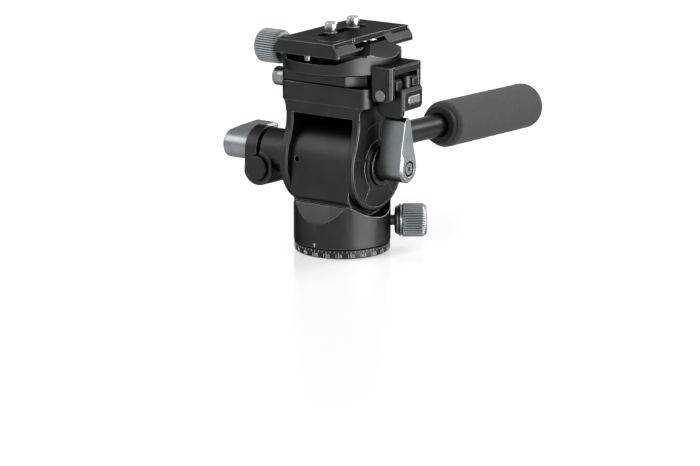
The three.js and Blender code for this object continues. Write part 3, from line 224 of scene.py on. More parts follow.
# Bare metals. A turned or ground face carries fine circular tool marks, about 0.1 mm apart,
# drawn here at 0.3 mm so that they show.
bareLooks = {
    # stainless steel, turned and polished: bright, with faint tool marks
    "turnedStainlessSteel": {
        "dark": "#8e9193", "pale": "#a7aaac", "smooth": 0.16, "rough": 0.24, "marks": 0.3, "relief": 0.0015,
    },
    # steel with a dull nickel plate: grey, soft highlights
    "dullNickelSteel": {
        "dark": "#646567", "pale": "#737476", "smooth": 0.28, "rough": 0.38, "marks": 0.3, "relief": 0.0015,
    },
    # steel blackened in hot oxide: dark, oily, half matt
    "blackOxideSteel": {
        "dark": "#37383a", "pale": "#4a4b4d", "smooth": 0.3, "rough": 0.42, "marks": 0.4, "relief": 0.003,
    },
    # bearing bronze, as turned: warm and slightly dull
    "turnedBearingBronze": {
        "dark": "#a98043", "pale": "#c39a58", "smooth": 0.3, "rough": 0.4, "marks": 0.35, "relief": 0.004,
    },
}


def bareMetal(name, look):
    material = newMaterial(name)
    tree = material.node_tree
    place = addNode(tree, "ShaderNodeTexCoord").outputs["Object"]
    marks = addNode(tree, "ShaderNodeTexNoise", {"Scale": perMm(look["marks"]), "Detail": 3.0}, {
        "Vector": place,
    })
    level = addNode(tree, "ShaderNodeMapRange", noiseSpread, {"Value": marks.outputs[0]})
    colour = addNode(tree, "ShaderNodeMix", {
        "data_type": "RGBA", 6: toLinear(look["dark"]), 7: toLinear(look["pale"]),
    }, {0: level.outputs[0]})
    polish = addNode(tree, "ShaderNodeMapRange", {"To Min": look["smooth"], "To Max": look["rough"]}, {
        "Value": level.outputs[0],
    })
    relief = addNode(tree, "ShaderNodeBump", {"Strength": metalRelief, "Distance": look["relief"] * mm}, {
        "Height": marks.outputs[0],
    })
    shader = addNode(tree, "ShaderNodeBsdfPrincipled", {"Metallic": 1.0}, {
        "Base Color": colour.outputs[2], "Roughness": polish.outputs[0], "Normal": relief.outputs[0],
    })
    addNode(tree, "ShaderNodeOutputMaterial", None, {"Surface": shader.outputs[0]})
    return material


# Closed-cell foam rubber, ground to shape: matt and dark grey, with open skin cells
foamLook = {
    "dark": "#404040", "pale": "#4c4c4c", "cell": 0.7, "blotch": 0.9, "relief": 0.1, "depth": 0.6,
    "roughness": 0.9, "sheen": 0.03, "sheenRoughness": 0.5,
}


def foamRubber(look):
    material = newMaterial("closedCellFoamRubber")
    tree = material.node_tree
    place = addNode(tree, "ShaderNodeTexCoord").outputs["Object"]
    cells = addNode(tree, "ShaderNodeTexVoronoi", {"Scale": perMm(look["cell"])}, {"Vector": place})
    blotches = addNode(tree, "ShaderNodeTexNoise", {"Scale": perMm(look["blotch"]), "Detail": 5.0}, {
        "Vector": place,
    })
    tone = addNode(tree, "ShaderNodeMapRange", noiseSpread, {"Value": blotches.outputs[0]})
    colour = addNode(tree, "ShaderNodeMix", {
        "data_type": "RGBA", 6: toLinear(look["dark"]), 7: toLinear(look["pale"]),
    }, {0: tone.outputs[0]})
    relief = addNode(tree, "ShaderNodeBump", {"Strength": look["depth"], "Distance": look["relief"] * mm}, {
        "Height": cells.outputs["Distance"],
    })
    shader = addNode(tree, "ShaderNodeBsdfPrincipled", {
        "Roughness": look["roughness"], "Sheen Weight": look["sheen"],
        "Sheen Roughness": look["sheenRoughness"],
    }, {"Base Color": colour.outputs[2], "Normal": relief.outputs[0]})
    addNode(tree, "ShaderNodeOutputMaterial", None, {"Surface": shader.outputs[0]})
    return material


# Acetal collar, moulded: black, smooth, with a faint flow texture
acetalLook = {
    "dark": "#111111", "pale": "#171717", "flow": 3.0, "smooth": 0.5, "rough": 0.6, "gloss": 0.25,
}
# Engraving filled with white enamel: near white, slightly uneven and half matt
enamelLook = {
    "dark": "#e2e4e4", "pale": "#f2f3f3", "flow": 0.5, "smooth": 0.45, "rough": 0.6, "gloss": 0.5,
}


def evenCoat(name, look):
    material = newMaterial(name)
    tree = material.node_tree
    place = addNode(tree, "ShaderNodeTexCoord").outputs["Object"]
    flow = addNode(tree, "ShaderNodeTexNoise", {"Scale": perMm(look["flow"]), "Detail": 2.0}, {
        "Vector": place,
    })
    level = addNode(tree, "ShaderNodeMapRange", noiseSpread, {"Value": flow.outputs[0]})
    colour = addNode(tree, "ShaderNodeMix", {
        "data_type": "RGBA", 6: toLinear(look["dark"]), 7: toLinear(look["pale"]),
    }, {0: level.outputs[0]})
    polish = addNode(tree, "ShaderNodeMapRange", {"To Min": look["smooth"], "To Max": look["rough"]}, {
        "Value": level.outputs[0],
    })
    shader = addNode(tree, "ShaderNodeBsdfPrincipled", {"Specular IOR Level": look["gloss"]}, {
        "Base Color": colour.outputs[2], "Roughness": polish.outputs[0],
    })
    addNode(tree, "ShaderNodeOutputMaterial", None, {"Surface": shader.outputs[0]})
    return material


blackAnodised = anodisedAluminium("blackAnodisedAluminium", anodisedLooks["blackAnodisedAluminium"])
blackTurned = anodisedAluminium("blackTurnedAluminium", anodisedLooks["blackTurnedAluminium"])
greyAnodised = anodisedAluminium("greyAnodisedAluminium", anodisedLooks["greyAnodisedAluminium"])
stainless = bareMetal("turnedStainlessSteel", bareLooks["turnedStainlessSteel"])
dullNickel = bareMetal("dullNickelSteel", bareLooks["dullNickelSteel"])
blackOxide = bareMetal("blackOxideSteel", bareLooks["blackOxideSteel"])
bronze = bareMetal("turnedBearingBronze", bareLooks["turnedBearingBronze"])
foam = foamRubber(foamLook)
acetal = evenCoat("mouldedBlackAcetal", acetalLook)
enamel = evenCoat("whiteFillEnamel", enamelLook)
print("materials made")


def placeMesh(name, mesh):
    piece = bpy.data.objects.new(name, mesh)
    bpy.context.scene.collection.objects.link(piece)
    return piece


def settle(piece):
    # bakes the live modifiers into a plain mesh and removes them
    graph = bpy.context.evaluated_depsgraph_get()
    plain = bpy.data.meshes.new_from_object(piece.evaluated_get(graph), depsgraph=graph)
    piece.modifiers.clear()
    old = piece.data
    piece.data = plain
    plain.name = piece.name
    bpy.data.meshes.remove(old)


def standFor(piece, node, material=None):
    if material:
        piece.data.materials.clear()
        piece.data.materials.append(material)
    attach(piece, bodyOf[node])
    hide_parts(node)


# Milled and turned parts: the CAD shape with its edges broken and its round faces smoothed.
# edge is the width of the broken edge, weld closes corners nearer than that, both in mm.
machined = {
    "base_ring": (blackTurned, 0.2, 0.01),
    "pan_housing": (blackAnodised, 0.22, 0.12),
    "tilt_yoke": (blackAnodised, 0.25, 0.12),
    "platform_seat": (blackAnodised, 0.25, 0.05),
    "flip_platform": (blackAnodised, 0.22, 0.12),
    "clamp_jaw": (blackAnodised, 0.22, 0.05),
    "flip_hinge_block": (blackAnodised, 0.22, 0.12),
    "handle_clamp": (blackAnodised, 0.22, 0.12),
    "quick_release_plate": (blackAnodised, 0.2, 0.05),
    "handle_rod": (blackTurned, 0.2, 0.01),
    "grip_collar": (acetal, 0.6, 0.01),
    "tilt_lock_lever": (greyAnodised, 0.2, 0.05),
    "handle_lock_lever": (greyAnodised, 0.2, 0.05),
    "tilt_lock_screw": (dullNickel, 0.12, 0.01),
    "handle_lock_screw": (dullNickel, 0.12, 0.01),
    "flip_pin": (dullNickel, 0.2, 0.01),
    "flip_catch": (blackAnodised, 0.15, 0.01),
    "release_button": (dullNickel, 0.15, 0.01),
    "platform_lock_pin": (stainless, 0.12, 0.01),
    "clamp_screw": (blackOxide, 0.15, 0.01),
    "pan_lock_screw": (blackOxide, 0.15, 0.01),
    "plate_stop_pin_front": (dullNickel, 0.15, 0.01),
    "plate_stop_pin_rear": (dullNickel, 0.15, 0.01),
    "tripod_bush": (stainless, 0.15, 0.01),
    "base_screw_1": (blackOxide, 0.12, 0.01),
    "base_screw_2": (blackOxide, 0.12, 0.01),
    "base_screw_3": (blackOxide, 0.12, 0.01),
}
# Angles in degrees. Faces within flatAngle of each other are one face; edges shorter than sliver (m) go.
smoothing = {"sharpAngle": 32, "flatAngle": 0.5, "segments": 2, "sliver": 1e-7, "faceWeight": 100}


# The plate's right edge has a small step below its top, and a fine line on its top marks the camera's seat.
# Each step runs along Y from its first value to its second; the line's points are (x, y). All in mm.
plateCuts = {
    "top": 106.4, "stepHeight": 2.1, "stepFace": 15.9, "stepReach": 4.0,
    "steps": [(-29.9, -14.5), (18.0, 32.7)], "lineWidth": 0.5, "lineDepth": 0.22, "overrun": 1.0,
    "line": [
        (-17.0, -25.5), (-11.0, -25.2), (-8.5, -24.0), (-6.4, -22.4), (-3.6, -21.7), (-0.4, -22.3),
        (2.6, -24.2), (5.7, -25.7), (10.2, -26.0), (12.2, -24.8), (13.0, -22.0), (13.1, -15.0),
    ],
}


def addPrism(work, outline, low, high):
    rings = [[work.verts.new((x * mm, y * mm, z * mm)) for x, y in outline] for z in (low, high)]
    work.faces.new(reversed(rings[0]))
    work.faces.new(rings[1])
    for i in range(len(outline)):
        j = (i + 1) % len(outline)
        work.faces.new((rings[0][i], rings[0][j], rings[1][j], rings[1][i]))


def makePlateCutter(sizes):
    work = bmesh.new()
    high = sizes["top"] + sizes["overrun"]
    for front, rear in sizes["steps"]:
        inner, outer = sizes["stepFace"], sizes["stepFace"] + sizes["stepReach"]
        addPrism(work, [(inner, front), (outer, front), (outer, rear), (inner, rear)],
                 sizes["top"] - sizes["stepHeight"], high)
    line = [Vector(point) for point in sizes["line"]]
    sides = ([], [])
    for i, point in enumerate(line):
        way = (line[min(i + 1, len(line) - 1)] - line[max(i - 1, 0)]).normalized() * sizes["lineWidth"] / 2
        sides[0].append((point.x + way.y, point.y - way.x))
        sides[1].append((point.x - way.y, point.y + way.x))
    addPrism(work, sides[0] + sides[1][::-1], sizes["top"] - sizes["lineDepth"], high)
    bmesh.ops.recalc_face_normals(work, faces=work.faces)
    mesh = bpy.data.meshes.new("plateCutter")
    work.to_mesh(mesh)
    work.free()
    return placeMesh("plateCutter", mesh)


cutters = {"quick_release_plate": makePlateCutter(plateCuts)}
# Two round parts are drawn a little slimmer or stouter than the CAD ones, about their own axes: the lever's
# cap screw, so that the wide hole round its head shows, and the catch post, which nearly fills its slot.
# "along" is the axis, "middle" a point that it runs through, in mm.
resized = {
    "tilt_lock_screw": {"along": (1, 0, 0), "middle": (0, 0, 44.1), "share": 0.86},
    "flip_catch": {"along": (0, 0, 1), "middle": (36.5, 0.1, 0), "share": 1.25},
}


def machinedCopy(node, material, edge, weld):
    mesh = bpy.data.meshes.new(node + "_machined")
    work = bmesh.new()
    work.from_mesh(nodes[node].data)
    bmesh.ops.remove_doubles(work, verts=work.verts, dist=weld * mm)
    bmesh.ops.dissolve_degenerate(work, edges=work.edges, dist=smoothing["sliver"])
    bmesh.ops.dissolve_limit(work, angle_limit=math.radians(smoothing["flatAngle"]), verts=work.verts,
                             edges=work.edges, delimit={"NORMAL"})
    for face in work.faces:
        face.smooth = True
        face.material_index = 0
    if node in resized:
        along, middle = Vector(resized[node]["along"]), Vector(resized[node]["middle"]) * mm
        for point in work.verts:
            axial = (point.co - middle).project(along)
            point.co = middle + axial + (point.co - middle - axial) * resized[node]["share"]
    work.to_mesh(mesh)
    work.free()
    piece = placeMesh(node + "_machined", mesh)
    if node in cutters:
        milled = piece.modifiers.new("milled", "BOOLEAN")
        milled.operation = "DIFFERENCE"
        milled.solver = "EXACT"
        milled.object = cutters[node]
    broken = piece.modifiers.new("brokenEdges", "BEVEL")
    broken.width = edge * mm
    broken.segments = smoothing["segments"]
    broken.limit_method = "ANGLE"
    broken.angle_limit = math.radians(smoothing["sharpAngle"])
    broken.use_clamp_overlap = True
    shading = piece.modifiers.new("evenShading", "WEIGHTED_NORMAL")
    shading.weight = smoothing["faceWeight"]
    settle(piece)
    standFor(piece, node, material)


for node, (material, edge, weld) in machined.items():
    machinedCopy(node, material, edge, weld)
for cutter in cutters.values():
    bpy.data.objects.remove(cutter)
print("machined parts finished:", len(machined))

# Inner parts keep their CAD shape and only take a finish
innerParts = {
    "pan_spindle": stainless, "tilt_shaft": stainless, "tilt_drag_plate": stainless,
    "thrust_washer": bronze, "pan_drag_disc": bronze, "drum_bush_right": bronze, "drum_bush_left": bronze,
    "pan_brake_shoe": bronze, "spindle_nut": blackOxide, "counterbalance_spring": blackOxide,
    "tilt_drag_disc_1": bronze, "tilt_drag_disc_2": bronze, "button_spring": stainless,
    "camera_screw_clip_front": blackOxide, "camera_screw_clip_rear": blackOxide,
}
for node, material in innerParts.items():
    nodes[node].data.materials.clear()
    nodes[node].data.materials.append(material)
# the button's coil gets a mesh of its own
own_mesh(nodes["button_spring"])
print("inner parts finished:", len(innerParts))


def turnedMesh(name, profile, sides):
    # profile is (along, radius) in mm, from one pole to the other or back to its start; the axis is Z
    mesh = bpy.data.meshes.new(name)
    work = bmesh.new()
    rings = []
    for along, radius in profile:
        if radius == 0:
            rings.append([work.verts.new((0, 0, along * mm))])
            continue
        angles = [2 * math.pi * i / sides for i in range(sides)]
        rings.append([
            work.verts.new((radius * mm * math.cos(angle), radius * mm * math.sin(angle), along * mm))
            for angle in angles
        ])
    for low, high in zip(rings, rings[1:]):
        for i in range(sides):
            j = (i + 1) % sides
            if len(low) == 1:
                work.faces.new((low[0], high[j], high[i]))
            elif len(high) == 1:
                work.faces.new((low[i], low[j], high[0]))
            else:
                work.faces.new((low[i], low[j], high[j], high[i]))
    bmesh.ops.recalc_face_normals(work, faces=work.faces)
    for face in work.faces:
        face.smooth = True
    work.to_mesh(mesh)
    work.free()
    return mesh


# Knurled knobs: a turned blank whose straight grooves are cut by Geometry Nodes.
# A power above 1 narrows the grooves.
groovePower = 1.3


def makeGrooveTree():
    tree = bpy.data.node_groups.new("straightKnurl", "GeometryNodeTree")
    tree.is_modifier = True
    sockets = [
        ("Blank", "NodeSocketGeometry"), ("Groove Count", "NodeSocketInt"),
        ("Groove Depth", "NodeSocketFloat"), ("Start", "NodeSocketFloat"), ("End", "NodeSocketFloat"),
        ("Run Out", "NodeSocketFloat"), ("Finish", "NodeSocketMaterial"),
    ]
    for name, kind in sockets:
        tree.interface.new_socket(name, in_out="INPUT", socket_type=kind)
    tree.interface.new_socket("Knob", in_out="OUTPUT", socket_type="NodeSocketGeometry")
    given = addNode(tree, "NodeGroupInput").outputs
    point = addNode(tree, "GeometryNodeInputPosition")
    place = addNode(tree, "ShaderNodeSeparateXYZ", None, {0: point.outputs[0]})
    angle = addNode(tree, "ShaderNodeMath", {"operation": "ARCTAN2"}, {
        0: place.outputs["Y"], 1: place.outputs["X"],
    })
    turns = addNode(tree, "ShaderNodeMath", {"operation": "MULTIPLY"}, {
        0: angle.outputs[0], 1: given["Groove Count"],
    })
    half = addNode(tree, "ShaderNodeMath", {"operation": "MULTIPLY", 1: 0.5}, {0: turns.outputs[0]})
    wave = addNode(tree, "ShaderNodeMath", {"operation": "SINE"}, {0: half.outputs[0]})
    crest = addNode(tree, "ShaderNodeMath", {"operation": "ABSOLUTE"}, {0: wave.outputs[0]})
    groove = addNode(tree, "ShaderNodeMath", {"operation": "SUBTRACT", 0: 1.0}, {1: crest.outputs[0]})
    sharp = addNode(tree, "ShaderNodeMath", {"operation": "POWER", 1: groovePower}, {0: groove.outputs[0]})
    startEnd = addNode(tree, "ShaderNodeMath", {"operation": "ADD"}, {
        0: given["Start"], 1: given["Run Out"],
    })
    endStart = addNode(tree, "ShaderNodeMath", {"operation": "SUBTRACT"}, {
        0: given["End"], 1: given["Run Out"],
    })
    rise = addNode(tree, "ShaderNodeMapRange", None, {
        "Value": place.outputs["Z"], "From Min": given["Start"], "From Max": startEnd.outputs[0],
    })
    fall = addNode(tree, "ShaderNodeMapRange", None, {
        "Value": place.outputs["Z"], "From Min": given["End"], "From Max": endStart.outputs[0],
    })
    length = addNode(tree, "ShaderNodeMath", {"operation": "MULTIPLY"}, {
        0: rise.outputs[0], 1: fall.outputs[0],
    })
    cut = addNode(tree, "ShaderNodeMath", {"operation": "MULTIPLY"}, {
        0: sharp.outputs[0], 1: length.outputs[0],
    })
    depth = addNode(tree, "ShaderNodeMath", {"operation": "MULTIPLY"}, {
        0: cut.outputs[0], 1: given["Groove Depth"],
    })
    radial = addNode(tree, "ShaderNodeCombineXYZ", None, {"X": place.outputs["X"], "Y": place.outputs["Y"]})
    outward = addNode(tree, "ShaderNodeVectorMath", {"operation": "NORMALIZE"}, {0: radial.outputs[0]})
    minus = addNode(tree, "ShaderNodeMath", {"operation": "MULTIPLY", 1: -1.0}, {0: depth.outputs[0]})
    inward = addNode(tree, "ShaderNodeVectorMath", {"operation": "SCALE"}, {
        0: outward.outputs[0], "Scale": minus.outputs[0],
    })
    moved = addNode(tree, "GeometryNodeSetPosition", None, {
        "Geometry": given["Blank"], "Offset": inward.outputs[0],
    })
    real = addNode(tree, "GeometryNodeRealizeInstances", None, {0: moved.outputs[0]})
    finished = addNode(tree, "GeometryNodeSetMaterial", None, {
        "Geometry": real.outputs[0], "Material": given["Finish"],
    })
    addNode(tree, "NodeGroupOutput", None, {0: finished.outputs[0]})
    return tree


def useTree(piece, tree, values):
    modifier = piece.modifiers.new(tree.name, "NODES")
    modifier.node_group = tree
    inputs = {item.name: item.identifier for item in tree.interface.items_tree if item.in_out == "INPUT"}
    for name, value in values.items():
        modifier[inputs[name]] = value
    settle(piece)


# Each knob is turned about its axis from its inner end: "from" is how far that end is from the head's
# axis, "azimuth" the way that the knob points, "steps" the blank's sides to a groove. The blank's profile is
# (along, radius). Sizes are in mm and degrees.
knobs = {
    "clamp_knob": {
        "azimuth": 180, "height": 95.3, "from": 33.6, "grooves": 42, "steps": 8, "depth": 0.8, "runOut": 0.7,
        "start": 0.5, "end": 12.6, "finish": greyAnodised,
        "profile": [
            (6.5, 0), (6.5, 2.5), (-4.8, 2.5), (-4.8, 4.2), (-0.2, 4.2), (0.0, 4.4), (0.0, 6.4), (0.15, 6.8),
            (1.0, 7.7), (1.5, 8.1), (2.0, 8.27), (2.6, 8.3), (4.6, 8.3), (6.6, 8.3), (8.6, 8.3), (10.6, 8.3),
            (11.6, 8.3), (12.0, 8.26), (12.4, 8.05), (12.9, 7.6), (13.3, 7.1), (13.4, 6.8), (13.4, 6.2),
            (13.0, 5.8), (12.9, 5.2), (12.9, 0),
        ],
    },
    "pan_lock_knob": {
        "azimuth": 35, "height": 13.7, "from": 25.4, "grooves": 40, "steps": 8, "depth": 0.8, "runOut": 0.5,
        "start": 3.8, "end": 14.6, "finish": greyAnodised,
        "profile": [
            (7.9, 0), (7.9, 2.95), (0.0, 2.95), (0.0, 5.6), (0.2, 6.2), (0.7, 6.75), (1.3, 6.95), (1.7, 7.0),
            (1.8, 7.1), (2.3, 7.75), (2.6, 7.95), (2.9, 7.95), (3.1, 7.8), (3.15, 7.45), (3.5, 7.4),
            (3.75, 7.5), (3.9, 7.95), (4.1, 8.13), (4.5, 8.15), (6.5, 8.15), (8.5, 8.15), (10.5, 8.15),
            (12.5, 8.15), (13.2, 8.15), (13.6, 8.1), (14.0, 7.9), (14.9, 7.25), (15.3, 6.95), (15.5, 6.6),
            (15.6, 6.1), (15.6, 5.6), (15.3, 5.2), (15.25, 4.6), (15.25, 0),
        ],
    },
}
# The lock plunger's knob is smooth: a turned barrel with a full rounded rim and a dished end
plungerKnob = {
    "azimuth": 180, "height": 81.0, "from": 29.4, "sides": 96, "finish": greyAnodised,
    "profile": [
        (4.4, 0), (4.4, 2.3), (-0.8, 2.3), (-0.8, 3.6), (0.0, 3.6), (0.05, 4.0), (0.3, 4.45), (0.7, 4.7),
        (1.1, 4.75), (4.0, 4.75), (7.0, 4.75), (7.2, 4.6), (7.5, 4.6), (7.7, 4.75), (8.2, 4.75), (8.6, 4.66),
        (8.9, 4.4), (9.1, 4.05), (9.2, 3.6), (9.2, 3.2), (8.9, 2.8), (8.8, 2.2), (8.8, 0),
    ],
}


def knobPlace(sizes):
    outward = Matrix.Rotation(math.radians(sizes["azimuth"]), 4, "Z") @ Matrix.Rotation(math.pi / 2, 4, "Y")
    height = Matrix.Translation((0, 0, sizes["height"] * mm))
    return height @ outward @ Matrix.Translation((0, 0, sizes["from"] * mm))


knurlTree = makeGrooveTree()
for node, sizes in knobs.items():
    blankMesh = turnedMesh(node + "_blank", sizes["profile"], sizes["grooves"] * sizes["steps"])
    blank = placeMesh(node + "_knurled", blankMesh)
    useTree(blank, knurlTree, {
        "Groove Count": sizes["grooves"], "Groove Depth": sizes["depth"] * mm, "Start": sizes["start"] * mm,
        "End": sizes["end"] * mm, "Run Out": sizes["runOut"] * mm, "Finish": sizes["finish"],
    })
    blank.data.transform(knobPlace(sizes))
    standFor(blank, node)
plungerMesh = turnedMesh("plunger", plungerKnob["profile"], plungerKnob["sides"])
plungerPiece = placeMesh("platform_lock_knob_turned", plungerMesh)
plungerPiece.data.transform(knobPlace(plungerKnob))
standFor(plungerPiece, "platform_lock_knob", plungerKnob["finish"])
print("knobs made")

# Camera screws: a broad head below the plate, a smooth shank with a shallow relief groove near its foot,
# and a slightly dished tip
cameraScrews = {
    "across": -1.8, "places": {"camera_screw_front": -6.6, "camera_screw_rear": 12.0}, "sides": 64,
    "profile": [
        (100.9, 0), (100.9, 5.4), (101.1, 5.75), (101.5, 6.0), (102.9, 6.0), (103.1, 5.8), (103.1, 3.35),
        (103.2, 3.1), (106.9, 3.1), (107.0, 3.0), (107.2, 2.97), (107.4, 3.0), (107.5, 3.1), (109.3, 3.1),
        (111.1, 3.1), (111.35, 3.07), (111.55, 2.97), (111.9, 2.62), (112.0, 2.45), (111.95, 2.3),
        (111.8, 1.9), (111.75, 0),
    ],
}


def makeCameraScrew(node, sizes):
    piece = placeMesh(node + "_turned", turnedMesh(node, sizes["profile"], sizes["sides"]))
    piece.data.set_sharp_from_angle(angle=math.radians(smoothing["sharpAngle"]))
    piece.data.transform(Matrix.Translation((sizes["across"] * mm, sizes["places"][node] * mm, 0)))
    standFor(piece, node, stainless)


for node in cameraScrews["places"]:
    makeCameraScrew(node, cameraScrews)
print("camera screws made")

# The handle's own frame: Y runs along the rod, which droops a little to the back
handleFrame = {"axisHeight": 44.1, "droop": 2.8, "rodAcross": -42.45, "rodDrop": 8.3}
rodPlace = (
    Matrix.Translation((0, 0, handleFrame["axisHeight"] * mm))
    @ Matrix.Rotation(-math.radians(handleFrame["droop"]), 4, "X")
    @ Matrix.Translation((handleFrame["rodAcross"] * mm, 0, -handleFrame["rodDrop"] * mm))
    @ Matrix.Rotation(-math.pi / 2, 4, "X")
)

# Foam grip: a ground tube of foam with a rolled front lip and a domed end, slightly uneven to the touch
gripSizes = {
    "front": 157.0, "end": 245.3, "radius": 12.6, "bore": 6.5, "boreEnd": 232.6, "lip": 2.4, "dome": 4.6,
    "sides": 112, "rings": 90, "lipSteps": 8, "domeSteps": 10, "endShares": (0.75, 0.5, 0.25, 0),
    "unevenness": 0.07, "unevenSize": 3.5, "cellDepth": 0.045, "cellSize": 0.9, "boreMargin": 1.0,
    "faceMargin": 0.05,
}


def gripProfile(sizes):
    radius, lip, dome = sizes["radius"], sizes["lip"], sizes["dome"]
    points = [(sizes["boreEnd"], 0), (sizes["boreEnd"], sizes["bore"]), (sizes["front"], sizes["bore"])]
    points.append((sizes["front"], (sizes["bore"] + radius - lip) / 2))
    for i in range(sizes["lipSteps"] + 1):
        angle = math.pi / 2 * i / sizes["lipSteps"]
        points.append((sizes["front"] + lip * (1 - math.cos(angle)), radius - lip * (1 - math.sin(angle))))
    span = sizes["end"] - dome - sizes["front"] - lip
    points += [(sizes["front"] + lip + span * i / sizes["rings"], radius) for i in range(1, sizes["rings"])]
    for i in range(sizes["domeSteps"] + 1):
        angle = math.pi / 2 * i / sizes["domeSteps"]
        points.append((sizes["end"] - dome * (1 - math.sin(angle)), radius - dome * (1 - math.cos(angle))))
    inner = radius - dome
    points += [(sizes["end"], inner * share) for share in sizes["endShares"]]
    return points


def makeGrip(sizes):
    mesh = turnedMesh("foam_grip", gripProfile(sizes), sizes["sides"])
    for point in mesh.vertices:
        place = point.co / mm
        radius = math.hypot(place.x, place.y)
        if radius < sizes["bore"] + sizes["boreMargin"] or place.z < sizes["front"] + sizes["faceMargin"]:
            continue
        soft = noise.noise(place / sizes["unevenSize"]) * sizes["unevenness"]
        cells = noise.noise(place / sizes["cellSize"]) * sizes["cellDepth"]
        inset = (soft + cells - sizes["unevenness"] - sizes["cellDepth"]) / radius
        point.co.x += point.co.x * inset
        point.co.y += point.co.y * inset
    piece = placeMesh("foam_grip_sleeve", mesh)
    mesh.transform(rodPlace)
    standFor(piece, "foam_grip", foam)


makeGrip(gripSizes)
print("foam grip made")

# Pan scale on the base ring: a tick every 5 degrees, a longer one and a number every 15, filled with enamel.
# The number at the front is 105, and the numbers grow to the right.
dial = {
    "radius": 23.3, "proud": 0.03, "depth": 0.2, "tickTop": 3.7, "tickLength": 0.65, "longTick": 1.05,
    "tickWidth": 0.26, "longWidth": 0.34, "step": 15, "ticksPerStep": 3, "frontNumber": 105,
    "frontAzimuth": -90, "textHeight": 2.35, "textFoot": 0.72, "textSpread": 1.04, "textWeight": 0.012,
    "textFineness": 3,
}


def makeTickTree():
    tree = bpy.data.node_groups.new("dialTicks", "GeometryNodeTree")
    tree.is_modifier = True
    sockets = [
        ("Geometry", "NodeSocketGeometry"), ("Count", "NodeSocketInt"), ("Radius", "NodeSocketFloat"),
        ("Height", "NodeSocketFloat"), ("Tick Size", "NodeSocketVector"), ("Finish", "NodeSocketMaterial"),
    ]
    for name, kind in sockets:
        tree.interface.new_socket(name, in_out="INPUT", socket_type=kind)
    tree.interface.new_socket("Ticks", in_out="OUTPUT", socket_type="NodeSocketGeometry")
    given = addNode(tree, "NodeGroupInput").outputs
    circle = addNode(tree, "GeometryNodeMeshCircle", None, {
        "Vertices": given["Count"], "Radius": given["Radius"],
    })
    tick = addNode(tree, "GeometryNodeMeshCube", None, {"Size": given["Tick Size"]})
    number = addNode(tree, "GeometryNodeInputIndex")
    turn = addNode(tree, "ShaderNodeMath", {"operation": "DIVIDE"}, {
        0: number.outputs[0], 1: given["Count"],
    })
    angle = addNode(tree, "ShaderNodeMath", {"operation": "MULTIPLY", 1: 2 * math.pi}, {
        0: turn.outputs[0],
    })
    facing = addNode(tree, "ShaderNodeCombineXYZ", None, {"Z": angle.outputs[0]})
    lift = addNode(tree, "ShaderNodeCombineXYZ", None, {"Z": given["Height"]})
    raised = addNode(tree, "GeometryNodeSetPosition", None, {
        0: circle.outputs[0], "Offset": lift.outputs[0],
    })
    placed = addNode(tree, "GeometryNodeInstanceOnPoints", None, {
        "Points": raised.outputs[0], "Instance": tick.outputs[0], "Rotation": facing.outputs[0],
    })
    real = addNode(tree, "GeometryNodeRealizeInstances", None, {0: placed.outputs[0]})
    finished = addNode(tree, "GeometryNodeSetMaterial", None, {
        "Geometry": real.outputs[0], "Material": given["Finish"],
    })
    addNode(tree, "NodeGroupOutput", None, {0: finished.outputs[0]})
    return tree


def makeTicks(name, tree, count, length, width, sizes):
    piece = placeMesh(name, bpy.data.meshes.new(name))
    useTree(piece, tree, {
        "Count": count, "Radius": (sizes["radius"] + sizes["proud"] - sizes["depth"] / 2) * mm,
        "Height": (sizes["tickTop"] - length / 2) * mm,
        "Tick Size": (sizes["depth"] * mm, width * mm, length * mm), "Finish": enamel,
    })
    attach(piece, "base")


def makeNumbers(sizes):
    work = bmesh.new()
    for number in range(0, 360, sizes["step"]):
        words = bpy.data.curves.new("dialNumber", "FONT")
        words.body = str(number)
        words.align_x = "CENTER"
        words.size = sizes["textHeight"] * mm
        words.space_character = sizes["textSpread"]
        words.extrude = sizes["depth"] / 2 * mm
        words.offset = sizes["textWeight"] * mm
        words.resolution_u = sizes["textFineness"]
        holder = bpy.data.objects.new("dialNumber", words)
        bpy.context.scene.collection.objects.link(holder)
        graph = bpy.context.evaluated_depsgraph_get()
        flat = bpy.data.meshes.new_from_object(holder.evaluated_get(graph), depsgraph=graph)
        azimuth = math.radians(sizes["frontAzimuth"] + number - sizes["frontNumber"])
        for point in flat.vertices:
            angle = azimuth + point.co.x / (sizes["radius"] * mm)
            reach = (sizes["radius"] + sizes["proud"] - sizes["depth"] / 2) * mm + point.co.z
            height = sizes["textFoot"] * mm + point.co.y
            point.co = (reach * math.cos(angle), reach * math.sin(angle), height)
        work.from_mesh(flat)
        bpy.data.objects.remove(holder)
        bpy.data.curves.remove(words)
        bpy.data.meshes.remove(flat)
    mesh = bpy.data.meshes.new("dial_numbers")
    bmesh.ops.remove_doubles(work, verts=work.verts, dist=smoothing["sliver"])
    bmesh.ops.recalc_face_normals(work, faces=work.faces)
    work.to_mesh(mesh)
    work.free()
    mesh.materials.append(enamel)
    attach(placeMesh("dial_numbers", mesh), "base")


tickTree = makeTickTree()
stepCount = 360 // dial["step"]
tickCount = stepCount * dial["ticksPerStep"]
makeTicks("dial_ticks", tickTree, tickCount, dial["tickLength"], dial["tickWidth"], dial)
makeTicks("dial_long_ticks", tickTree, stepCount, dial["longTick"], dial["longWidth"], dial)
makeNumbers(dial)

# The pointer that reads the dial, on the front of the pan body
pointer = {
    "radius": 23.6, "proud": 0.03, "depth": 0.25, "top": 6.9, "bottom": 5.0, "width": 1.25, "azimuth": -90,
}


